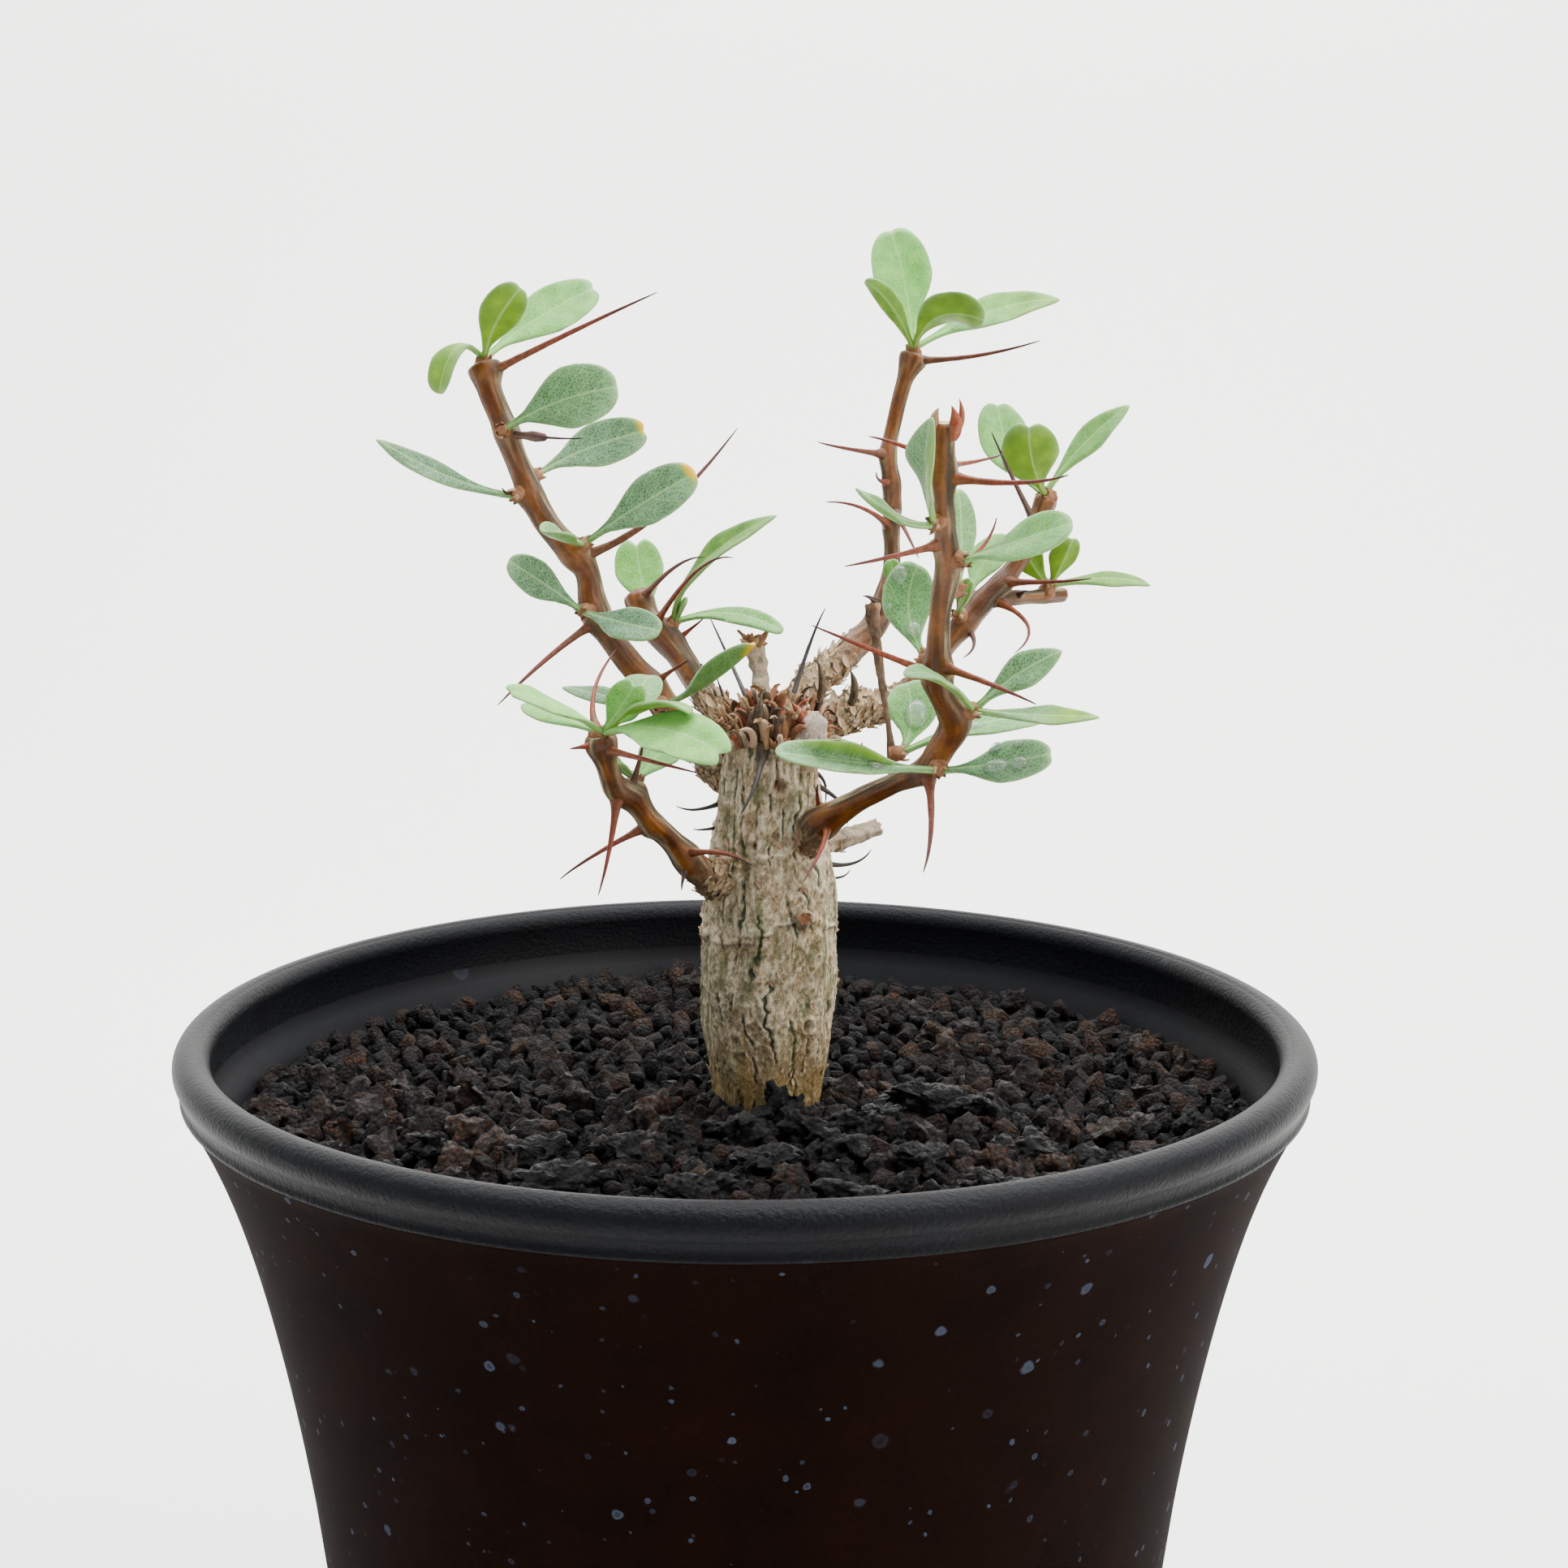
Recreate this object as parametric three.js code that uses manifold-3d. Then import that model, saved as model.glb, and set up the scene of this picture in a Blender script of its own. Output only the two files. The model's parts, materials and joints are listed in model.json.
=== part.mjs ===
// A potted boojum tree: a young spiny succulent with a swollen trunk and cut back branches,
// standing in dark lava grit in a round plastic plant pot.
// Millimetres, +Z up. The origin is the middle of the pot's foot, and +Y points to the back.
import * as THREE from 'three';
import { mergeVertices } from 'three/addons/utils/BufferGeometryUtils.js';
import Module from 'manifold-3d';

const wasm = await Module();
wasm.setup();

// Pot
const POT_HEIGHT = 135;
const RIM_DIAMETER = 150;
const RIM_BEAD = 4.8;
const BEAD_START = -30;
const BEAD_STEP = 30;
const FOOT_DIAMETER = 98;
const WALL = 2.4;
const FLOOR = 3;
const FOOT_RECESS = 2;
const FOOT_RING = 6;
const FOOT_BEVEL = 1.1;
const FLOOR_FILLET = 3;
const DRAIN_DIAMETER = 6;
const DRAIN_COUNT = 8;
const DRAIN_CIRCLE = 56;
const DRAIN_SIDES = 12;
const POT_SEGMENTS = 48;

// Soil: the level of the tallest grains, and the grains' spacing, unevenness and slope
const SOIL_TOP = 125;
const GRAIN_PITCH = 8.2;
const GRAIN_JITTER = 0.5;
const GRAIN_RISE = 1.8;
const GRAIN_SPREAD = 1.5;
const GRAIN_TILT = 0.22;
const GRAIN_DIP = 1.2;
const GRAIN_LIFT = 0.6;
const GRAIN_TOP_SHARE = 0.66;
const SLAB_BOTTOM = -10;
const GRAIN_FOOT = SOIL_TOP - GRAIN_SPREAD - GRAIN_RISE;
const HEX_ROW = Math.sqrt(3) / 2;

// Trunk, with its root's end, its bark's ridges and its crown
const TRUNK_X = 3.2;
const ROOT_END = 98;
const ROOT_STEP = 8;
const BARK_START = 123;
const BARK_END = 171;
const BARK_STEP = 3;
const TRUNK_TOP = 176;
const TRUNK_SIDES = 24;
const BARK_RELIEF = 0.22;
const HOLE_CLEARANCE = 0.6;
const HOLE_TOP = 134;
const SPINE_SEAT = 0.55;
const CROWN_SCALES = 16;
const CROWN_REACH = 5.6;
const CROWN_LEVEL = 173;
const CROWN_SLOPE = 0.45;
const GOLDEN_ANGLE = Math.PI * (3 - Math.sqrt(5));

// Gap kept between pieces that touch, and what keeps round facets clear of each other
const GAP = 0.3;
const FACET_CLEARANCE = 0.2;

// Leaves: the smallest half width of a stalk, the blade, the notch at a leaf's end, and the bud
const STALK = 0.36;
const BLADE = 0.66;
const NOTCH_DEPTH = 0.9;
const BUD_RADIUS = 1.3;
const BUD_RISE = 0.55;

// Branches and spines
const BRANCH_SIDES = 8;
const STEM_STEPS = 1.15;
const SPINE_SIDES = 4;
const PATH_SAMPLES = 300;

const COLOURS = {
  pot: 0x1d1614,
  soil: 0x2b2422,
  trunk: 0xa39a84,
  branch: 0x8a5a34,
  leaf: 0x8fae8c,
};

// Outer wall of the pot below the bead: height under the rim's middle, and radius
const WALL_PROFILE = [
  [4, 73.8],
  [8, 71.8],
  [12, 70],
  [18, 67.8],
  [25, 65.8],
  [35, 63.3],
  [45, 61.3],
  [60, 58.8],
];

// Trunk above and below the soil: height and radius
const TRUNK_PROFILE = [
  [ROOT_END, 2.2],
  [112, 4.8],
  [121, 6.7],
  [124, 7],
  [129, 7.8],
  [134, 8.7],
  [140, 9.1],
  [147, 8.9],
  [153, 8.5],
  [158, 7.8],
  [163, 6.9],
  [168, 6.4],
  [171, 6.2],
  [173.5, 5],
  [TRUNK_TOP, 2.6],
];

// Ridges of the bark: how many go round, their turn in radians per millimetre of height, their share
const BARK_RIDGES = [[7, 0.09, 1], [11, -0.153, 0.7], [3, 0.55, 0.5]];

// Broken stubs and old spines of the trunk. A stub's points are [x, y, z, radius].
// A spine is [a point on its carrier, its bend, its tip, its root's radius].
const TRUNK_STUBS = [
  [[8, 1, 158.3, 2.2], [12.5, 2.5, 158.6, 1.4], [18, 6, 159.6, 1.1]],
  [[2, 4, 170, 2.6], [2, 7, 176, 1.8], [2, 9, 180, 1.3], [1, 11, 184.5, 1.6]],
  [[7.2, -5, 150, 1.6], [7.8, -8.2, 150.2, 1.1], [8, -9.8, 150.8, 0.6]],
];
const TRUNK_SPINES = [
  [[-3, -1, 165], [-5.8, -3, 164], [-8.5, -4, 164], 0.5],
  [[-4, -1, 161.3], [-5.2, -2, 160.9], [-6.6, -2.5, 160.9], 0.4],
  [[2.3, -6, 172], [1.4, -10, 168.5], [-0.5, -13, 165], 0.55],
  [[11, 2, 156], [14, 3, 155.4], [16.5, 4, 156.6], 0.5],
  [[1, 8, 176], [-1.5, 15, 180], [-5, 20, 187], 0.5],
  [[6, 5, 175], [8.3, 8.5, 183], [10.8, 9, 189], 0.5],
  [[9, 3, 166], [12.6, 5, 163.5], [13.8, 6, 160], 0.45],
];

// Branches: the points of each path, and of each side shoot, are [x, y, z, radius]
const BRANCHES = {
  branch_left_tall: {
    path: [
      [1, 1, 165, 2.8], [-3, 0.5, 168.3, 2.7], [-6, 0, 171.5, 2.3], [-8.5, 0, 174, 2.1],
      [-12.5, -1, 180, 2], [-15, -2, 183, 1.9], [-18, -3, 187.5, 1.8], [-19.5, -3, 190.5, 2],
      [-20.5, -3, 195, 1.7], [-22.5, -3, 197.5, 1.9], [-25.4, -2, 201, 1.8], [-27.6, -1, 205, 1.7],
      [-29.8, 0, 209.8, 1.7], [-31.3, 1, 213.8, 1.7], [-33, 2, 217.8, 1.7], [-34, 3, 221.2, 2.3],
    ],
    spines: [
      [[-32, 2, 220.4], [-22.5, -2, 225], [-11, -6, 230], 0.7],
      [[-31, 0, 212.5], [-24.5, -6, 212], [-20.5, -8, 212], 0.7],
      [[-20, -3.5, 198.2], [-11.5, -2.5, 202], [-1, 4, 213], 0.75],
      [[-20, -4, 187.8], [-24.5, -8, 184.8], [-31, -14, 179], 0.7],
      [[-28.5, -1, 204], [-29.8, -2.4, 204.6], [-31, -4, 205.6], 0.5],
      [[-11.5, -0.5, 180.5], [-9.5, -2.5, 182], [-7.3, -4, 183.5], 0.5],
    ],
  },
  branch_left_short: {
    path: [
      [2, 5, 170, 2.4], [-4, 8, 176, 2.1], [-6.5, 10, 179, 2],
      [-9.5, 12, 183, 1.9], [-13, 14, 186.5, 1.9], [-15, 16, 190.5, 2.1],
    ],
    spines: [
      [[-14, 14, 190], [-9.5, 8, 194.5], [-5.5, 3, 196.3], 0.6],
      [[-11.5, 12, 187.5], [-6.5, 3.5, 194.3], [-1.5, -1, 196.5], 0.6],
      [[-9.5, 12, 184.5], [-7, 12, 186.2], [-5.5, 12, 187.5], 0.45],
    ],
  },
  branch_left_low: {
    path: [
      [2, -1, 152, 2.6], [-2, -4, 153.6, 2.5], [-5, -8, 155.9, 2.3], [-7, -11, 158.4, 2],
      [-10, -14, 162.5, 1.6], [-12, -17, 165, 1.5], [-14, -19, 168, 1.7], [-16, -21, 170, 1.6],
      [-16.9, -23, 173, 1.5], [-17.7, -24, 176.8, 1.8],
    ],
    spines: [
      [[-14, -19, 169], [-13, -20.5, 173], [-12.3, -21, 176.5], 0.55],
      [[-16, -21, 169], [-16.5, -23.5, 163], [-17.8, -27, 157.5], 0.7],
      [[-12.2, -16.5, 163.5], [-18.5, -19, 161], [-23, -20, 158], 0.6],
      [[-7.5, -12, 160], [-2.8, -18.5, 161], [1, -23, 160.3], 0.6],
      [[-7, -11.5, 158.5], [-7.8, -14, 157], [-8, -15, 155.5], 0.55],
      [[-18, -24, 175.5], [-19.4, -25.2, 175.5], [-21, -27, 175.5], 0.45],
      [[-17.5, -24.5, 175], [-11, -31, 174.6], [-5.2, -35, 173.8], 0.6],
      [[-18, -24, 176.3], [-18.5, -19.5, 181.5], [-15.6, -13, 186.5], 0.5],
    ],
  },
  branch_back_tall: {
    path: [
      [5, 3, 170, 2.6], [8, 11, 177, 2.4], [13.5, 18, 181.5, 2.3], [18, 21, 185.5, 2],
      [19.5, 22, 189, 1.7], [20.5, 23, 193.5, 1.4], [20.5, 24, 199, 1.3], [20.5, 24, 204.5, 1.5],
      [20, 24, 209, 1.3], [21, 25, 214.5, 1.2], [22, 25, 218.6, 1.3], [23.4, 26, 222.8, 1.8],
    ],
    spines: [
      [[24, 25.5, 221.6], [31.5, 22, 222.5], [40, 18, 224.5], 0.6],
      [[19.5, 23, 209], [14, 18, 210], [9.8, 14, 211], 0.6],
      [[20, 22.5, 199], [16, 17, 202], [11, 13, 203], 0.6],
      [[21, 23.5, 201.5], [22, 19, 199], [23.5, 13, 195.5], 0.55],
      [[20, 23, 205], [18.6, 20.6, 205.6], [18, 18.5, 206.8], 0.45],
      [[19.2, 21, 188], [17.5, 18, 189.5], [16.2, 16, 190], 0.8],
    ],
  },
  branch_right: {
    path: [
      [6, 2, 168, 2.8], [10, 6, 173, 2.8], [14.5, 9, 175, 2.7], [18.5, 11, 175.5, 2.4],
      [23.5, 13, 178.5, 1.8], [28, 15, 184, 1.7], [32.5, 16, 189, 1.8], [37, 17, 194, 1.5],
      [40, 18, 199.5, 1.5], [41.5, 18, 203.5, 1.8],
    ],
    shoots: [
      [[33.5, 16, 189.7, 1.3], [39.5, 20, 189.5, 1.15], [45, 24, 189.5, 1.25]],
    ],
    spines: [
      [[39.5, 17, 200], [35.6, 9.5, 206.5], [32.3, 5, 212.5], 0.65],
      [[36, 15.5, 191.5], [41.5, 10, 192.5], [46, 6, 193.3], 0.65],
      [[37.5, 18.5, 189.6], [38.2, 16, 190.6], [38.6, 14, 190.8], 0.45],
      [[34.5, 15, 189], [38.3, 11.5, 186.5], [36.1, 7, 183.2], 0.55],
      [[30.5, 15, 186], [31.2, 12.5, 184], [29.6, 10.5, 182.2], 0.5],
    ],
  },
  branch_front: {
    path: [
      [6, -2, 157, 2.6], [9.5, -8, 162.5, 2.3], [14.5, -14, 167, 1.7], [18.5, -19, 170, 1.5],
      [22, -24, 172.5, 1.7], [23.5, -27, 175.5, 1.8], [25, -29, 179, 2], [23, -32, 183.5, 1.8],
      [22.5, -34, 187.5, 1.6], [22.5, -36, 193, 1.4], [23, -38, 198, 1.5], [22.5, -40, 203.5, 1.3],
      [22, -42, 209, 1.4], [22, -43, 214.5, 1.7],
    ],
    shoots: [
      [[18.2, -19, 170.5, 0.6], [17.8, -20, 176, 0.55], [16.6, -18.5, 184, 0.7], [15.5, -17, 192, 1.1]],
    ],
    spines: [
      [[22.5, -25, 171.5], [22.3, -29.5, 166.5], [21, -35, 162], 0.75],
      [[22, -33.5, 184.5], [15, -38, 188.5], [7.5, -43, 192], 0.65],
      [[23, -33.5, 186.5], [27.8, -42, 185.2], [32, -50, 184], 0.65],
      [[22.5, -42.5, 208.5], [29.5, -46, 208], [35, -50, 209], 0.65],
      [[22.3, -41, 210], [26, -37, 210], [29.5, -34, 210.7], 0.5],
      [[22, -40, 200.5], [16.5, -44, 199.8], [11, -48, 199], 0.6],
      [[21.5, -43, 210], [17.3, -43, 212], [13.7, -44, 213], 0.55],
      [[24, -37, 197.5], [27, -36, 200], [29, -34, 203.5], 0.5],
      [[10.5, -9.5, 163], [10, -14, 161.5], [7.3, -21, 158], 0.6],
      [[9.5, -8.5, 164], [9.3, -10, 166.5], [9.3, -11.5, 168.5], 0.5],
    ],
  },
};

// Leaf tufts: each grows from one bud near a point of its branch. A leaf is
// [middle of its rib, tip, width, the way its upper side looks, fold, notch].
const TUFTS = {
  leaves_left_tall_top: { on: 'branch_left_tall', bud: [-33.6, 2, 224], leaves: [
    [[-31.6, -1, 226.7], [-28.2, -3, 230.8], 5.2, [-0.2, 0.9, 0.2], 0.2, 0.5],
    [[-27.6, 8, 226.8], [-19.6, 12, 231.3], 6.8, [0.1, -0.8, 0.5], 0.15, 0.9],
    [[-36.7, 0, 223.2], [-38.9, -2, 217.4], 5, [-0.5, -0.6, 0.7], 0.4, 0.2],
  ] },
  leaf_left_tall_a: { on: 'branch_left_tall', bud: [-31, -1.5, 212.8], leaves: [
    [[-23.8, -3, 216.4], [-16.1, -3, 218.3], 8.2, [0.1, -0.95, 0.3], 0.12, 0.4],
  ] },
  leaf_left_tall_b: { on: 'branch_left_tall', bud: [-27, 1.5, 207], leaves: [
    [[-21.4, 6, 210], [-13, 9, 212.6], 6, [0.1, -0.8, 0.5], 0.15, 0.8],
  ] },
  leaf_left_tall_c: { on: 'branch_left_tall', bud: [-29.4, -2.3, 204.6], leaves: [
    [[-37.4, -6, 206.9], [-46, -10, 211.9], 4, [0.2, -0.6, 0.8], 0.1, 0.2],
  ] },
  leaves_left_tall_d: { on: 'branch_left_tall', bud: [-19.6, -4.8, 199.4], leaves: [
    [[-13.2, -6.6, 203.2], [-6.1, -8, 207.4], 7.2, [-0.3, -0.9, 0.4], 0.12, 0.3],
    [[-22.8, -8.4, 199.4], [-25.4, -12, 200.7], 4, [0, -0.5, 0.85], 0.6, 0.2],
  ] },
  leaves_left_tall_e: { on: 'branch_left_tall', bud: [-20.8, -5.5, 189.9], leaves: [
    [[-25.4, -8, 193.4], [-29.7, -11, 196.6], 5.2, [0.2, -0.9, 0.3], 0.15, 0.4],
    [[-15.6, -11, 189], [-10.4, -15, 188.4], 5, [0, -0.75, 0.65], 0.2, 0.5],
  ] },
  leaf_left_tall_f: { on: 'branch_left_tall', bud: [-11, 2, 176.5], leaves: [
    [[-17.5, 3.6, 177.5], [-24.5, 6, 178.7], 3.4, [0, -0.5, 0.85], 0.2, 0.1],
  ] },
  leaf_left_tall_g: { on: 'branch_left_tall', bud: [-11, -4, 177.4], leaves: [
    [[-4.9, -9, 181.2], [1.2, -14, 186.6], 4.6, [-0.4, 0.3, 0.85], 0.7, 0.1],
  ] },
  leaf_left_short_back: { on: 'branch_left_short', bud: [-12.5, 17, 187], leaves: [
    [[-14.4, 20.5, 192.2], [-15.2, 22.5, 197.6], 6.8, [0, -0.9, 0.3], 0.1, 1.2],
  ] },
  leaves_left_short_side: { on: 'branch_left_short', bud: [-9.6, 12.5, 187], leaves: [
    [[-6.2, 8.6, 194.3], [4.2, 4, 201.7], 4.5, [-0.6, -0.5, 0.6], 0.4, 0.2],
    [[-2.2, 11, 188.1], [5.1, 8, 186.2], 3.3, [0, -0.7, 0.7], 0.15, 0.3],
    [[-8.6, 11.4, 188.8], [-7.8, 10.2, 190.2], 1.8, [-0.5, -0.5, 0.6], 0.3, 0.1],
  ] },
  leaves_left_low_top: { on: 'branch_left_low', bud: [-15.6, -26.5, 178.2], leaves: [
    [[-21.7, -32, 181.1], [-27.4, -38, 183.8], 5.2, [0.1, -0.5, 0.85], 0.1, 1],
    [[-22.4, -21.5, 178.5], [-27.3, -16, 179.6], 4, [0, -0.6, 0.8], 0.15, 0.3],
    [[-14.2, -28, 181.6], [-12.9, -29, 184.1], 4.6, [0, -0.95, 0.2], 0.2, 1.1],
    [[-13.4, -20, 181], [-12, -15, 182.9], 5, [0, -0.8, 0.6], 0.15, 0.5],
    [[-11, -30, 181.2], [-6.4, -34.5, 180.8], 4, [0, 0.25, 0.95], 0.2, 0.2],
    [[-9.2, -33.5, 178.6], [-2.1, -38.5, 176], 7.2, [0.1, -0.75, 0.65], 0.1, 1.3],
    [[-10, -19.6, 177.4], [-4.9, -14.5, 177.4], 4.4, [0, -0.3, 0.95], 0.15, 0.6],
  ] },
  leaves_left_low_side: { on: 'branch_left_low', bud: [-14.2, -18.8, 168.6], leaves: [
    [[-15.4, -17.8, 172], [-16.9, -18.5, 174.8], 2.6, [-0.7, -0.3, 0.5], 0.5, 0.1],
    [[-11.6, -14, 171.7], [-9.1, -9.6, 174], 5.4, [-0.2, -0.9, 0.4], 0.15, 0.4],
  ] },
  leaves_back_tall_top: { on: 'branch_back_tall', bud: [23.3, 25.5, 226], leaves: [
    [[22.4, 30, 232.2], [20.4, 33, 240.2], 8.5, [0, -0.95, 0.3], 0.12, 0.7],
    [[20, 21.5, 229.3], [16.3, 20, 232.6], 2.8, [-0.3, 0.6, 0.7], 0.4, 0.1],
    [[26.4, 20, 228], [32.2, 16, 227.2], 6.2, [-0.1, 0.8, 0.6], 0.25, 0.2],
    [[33.5, 27.5, 228.3], [43.7, 26.5, 230.2], 6, [0, -0.7, 0.7], 0.15, 0.1],
  ] },
  leaf_back_tall_low: { on: 'branch_back_tall', bud: [20.4, 20, 190.6], leaves: [
    [[20.4, 18.7, 192.8], [20, 17.8, 195], 2.6, [0, -1, 0.2], 0.2, 0.4],
  ] },
  leaves_right_top: { on: 'branch_right', bud: [40, 15.5, 206], leaves: [
    [[38.4, 11.5, 208.8], [37.7, 9, 213.8], 7.8, [0, 0.95, 0.3], 0.1, 1],
    [[36.9, 23, 209], [35.4, 28, 216.2], 7.1, [0.1, -0.9, 0.3], 0.12, 0.9],
    [[45.6, 18.5, 209.6], [52.4, 18, 215.9], 4.6, [-0.4, -0.7, 0.5], 0.2, 0.2],
  ] },
  leaf_right_back: { on: 'branch_right', bud: [30.6, 18.5, 190], leaves: [
    [[33.5, 24, 193.9], [37.5, 28, 197.2], 5, [-0.1, -0.8, 0.5], 0.15, 0.4],
  ] },
  leaves_right_shoot: { on: 'branch_right', bud: [42.5, 20.5, 191.5], leaves: [
    [[39.6, 19.6, 194.4], [38.4, 20.6, 197.6], 4, [-0.1, 0.9, 0.3], 0.2, 0.6],
    [[43.8, 18, 195], [44.8, 16.4, 198], 4.2, [-0.3, 0.9, 0.2], 0.25, 0.5],
    [[49.6, 20, 192], [56.1, 19, 191.2], 3.2, [0, -0.6, 0.8], 0.2, 0.1],
  ] },
  leaf_right_bud: { on: 'branch_right', bud: [28.6, 13, 188.4], leaves: [
    [[29.5, 10.6, 190.8], [30.5, 9, 192.8], 2.6, [-0.5, -0.8, 0.3], 0.3, 0.2],
  ] },
  leaves_front_high: { on: 'branch_front', bud: [20.6, -42, 203], leaves: [
    [[19.9, -48, 209], [20, -52, 215.2], 6.2, [-0.75, -0.55, 0.2], 0.35, 0.1],
    [[16.7, -46, 204.1], [12, -50, 207.6], 3.4, [0.2, -0.4, 0.9], 0.4, 0.1],
  ] },
  leaf_front_behind: { on: 'branch_front', bud: [24.4, -35.5, 195.5], leaves: [
    [[24.5, -31, 201.4], [24.2, -28.5, 206.6], 4.2, [0.5, -0.8, 0.2], 0.15, 0.3],
  ] },
  leaf_front_right: { on: 'branch_front', bud: [24.8, -40, 199], leaves: [
    [[29.8, -46, 201.3], [35.6, -50, 203.7], 6.2, [-0.2, -0.75, 0.6], 0.12, 0.3],
  ] },
  leaf_front_wet: { on: 'branch_front', bud: [20.8, -31.5, 187.2], leaves: [
    [[19.4, -28, 192.4], [20.6, -27, 197.7], 6.3, [-0.1, -0.95, 0.2], 0.1, 0.4],
  ] },
  leaves_front_middle: { on: 'branch_front', bud: [26.6, -30.5, 180.6], leaves: [
    [[31.3, -31, 184.1], [37.2, -32, 187.6], 5.3, [-0.3, -0.8, 0.5], 0.15, 0.2],
    [[22.5, -38.5, 185.1], [17.8, -45, 186.6], 4.6, [0.1, -0.5, 0.85], 0.25, 0.2],
    [[33.6, -34, 180.4], [41, -37, 180.7], 4, [0, -0.45, 0.9], 0.3, 0.1],
  ] },
  leaves_front_low: { on: 'branch_front', bud: [23.5, -29.8, 171.8], leaves: [
    [[30.1, -31, 174.2], [36.2, -33, 175.8], 6, [-0.2, -0.7, 0.7], 0.12, 0.6],
    [[12.6, -34, 174.8], [3.6, -40, 177], 5, [0.3, -0.4, 0.85], 0.4, 0.1],
  ] },
  leaves_front_root: { on: 'branch_front', bud: [20.6, -20, 174], leaves: [
    [[20.7, -17, 177.8], [20.1, -14.5, 182], 6.4, [0, -0.9, 0.3], 0.15, 0.5],
    [[27.5, -20.5, 177.1], [37, -18, 178.1], 4.4, [0, -0.5, 0.85], 0.15, 0.3],
  ] },
};

// Outline of a leaf: share of its length from the bud, and share of its half width
const LEAF_OUTLINE = [[0, 0.1], [0.17, 0.16], [0.41, 0.68], [0.68, 1], [0.9, 0.84], [1, 0.44]];

const vector = ([x, y, z]) => new THREE.Vector3(x, y, z);

// Numbers from 0 to 1 in an order fixed by the seed
function seededRandom(seed) {
  let state = seed;
  return () => {
    state = (state + 0x6d2b79f5) | 0;
    let mixed = Math.imul(state ^ (state >>> 15), 1 | state);
    mixed = (mixed + Math.imul(mixed ^ (mixed >>> 7), 61 | mixed)) ^ mixed;
    return ((mixed ^ (mixed >>> 14)) >>> 0) / 4294967296;
  };
}

// A closed geometry as a solid
function solidOf(geometry) {
  geometry.deleteAttribute('normal');
  geometry.deleteAttribute('uv');
  const merged = mergeVertices(geometry, 1e-4);
  return new wasm.Manifold(new wasm.Mesh({
    numProp: 3,
    vertProperties: new Float32Array(merged.attributes.position.array),
    triVerts: new Uint32Array(merged.index.array),
  }));
}

function joined(solids) {
  return solids.reduce((whole, solid) => whole.add(solid));
}

// The largest body of a cut solid, without the scraps that the cut leaves loose
function mainBody(solid) {
  return solid.decompose().sort((a, b) => b.volume() - a.volume())[0];
}

function pieceOf(name, solid, colour, roughness) {
  const mesh = solid.getMesh();
  const geometry = new THREE.BufferGeometry();
  geometry.setAttribute('position', new THREE.BufferAttribute(new Float32Array(mesh.vertProperties), 3));
  geometry.setIndex(new THREE.BufferAttribute(new Uint32Array(mesh.triVerts), 1));
  geometry.computeVertexNormals();
  const material = new THREE.MeshStandardMaterial({ color: colour, roughness, metalness: 0 });
  const piece = new THREE.Mesh(geometry, material);
  piece.name = name;
  return piece;
}

// A direction that no stem or spine runs along, which keeps their sections from twisting
const SECTION_GUIDE = new THREE.Vector3(0.13, 0.99, 0.07).normalize();

// Bends a unit tall cylinder or cone along a curve, with its radius from a function of the way along
function bentAlong(geometry, curve, radiusAt) {
  const position = geometry.attributes.position;
  const side = new THREE.Vector3();
  const across = new THREE.Vector3();
  for (let i = 0; i < position.count; i += 1) {
    const along = THREE.MathUtils.clamp(position.getY(i) + 0.5, 0, 1);
    const tangent = curve.getTangent(along);
    side.crossVectors(SECTION_GUIDE, tangent).normalize();
    across.crossVectors(side, tangent);
    const point = curve.getPoint(along);
    point.addScaledVector(side, position.getX(i) * radiusAt(along));
    point.addScaledVector(across, position.getZ(i) * radiusAt(along));
    position.setXYZ(i, point.x, point.y, point.z);
  }
  return geometry;
}

function pathCurve(points) {
  return new THREE.CatmullRomCurve3(points.map(vector), false, 'centripetal');
}

function pathRadius(points, grow) {
  return (along) => {
    const place = along * (points.length - 1);
    const index = Math.min(Math.floor(place), points.length - 2);
    return THREE.MathUtils.lerp(points[index][3], points[index + 1][3], place - index) + grow;
  };
}

// A round stem through points [x, y, z, radius], grown outwards by a clearance if asked
function stem(points, sides, grow = 0) {
  const steps = Math.round((points.length - 1) * STEM_STEPS);
  const bar = new THREE.CylinderGeometry(1, 1, 1, sides, steps);
  return solidOf(bentAlong(bar, pathCurve(points), pathRadius(points, grow)));
}

// The quadratic curve that passes through a middle point
function curveThrough(from, middle, to) {
  const control = middle.clone().multiplyScalar(2).addScaledVector(from, -0.5).addScaledVector(to, -0.5);
  return new THREE.QuadraticBezierCurve3(from, control, to);
}

function spine(root, [, bend, tip, radius], grow = 0) {
  const point = new THREE.ConeGeometry(1, 1, SPINE_SIDES, 2);
  const curve = curveThrough(root, vector(bend), vector(tip));
  return solidOf(bentAlong(point, curve, () => radius + grow));
}

// The point of a branch's or shoot's middle line nearest to a place, and the radius there
function nearestOn(paths, place) {
  const target = vector(place);
  let best = null;
  for (const points of paths) {
    const curve = pathCurve(points);
    const radius = pathRadius(points, 0);
    for (let step = 0; step <= PATH_SAMPLES; step += 1) {
      const along = step / PATH_SAMPLES;
      const point = curve.getPoint(along);
      const distance = point.distanceTo(target);
      if (!best || distance < best.distance) {
        best = { point, distance, radius: radius(along), atEnd: step === PATH_SAMPLES };
      }
    }
  }
  return best;
}

const pathsOf = (branch) => [branch.path, ...(branch.shoots ?? [])];

function branchStems(branch, grow = 0) {
  return joined(pathsOf(branch).map((points) => stem(points, BRANCH_SIDES, grow)));
}

function branchSpines(branch, grow = 0) {
  return joined(branch.spines.map((entry) => spine(nearestOn(pathsOf(branch), entry[0]).point, entry, grow)));
}

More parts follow.
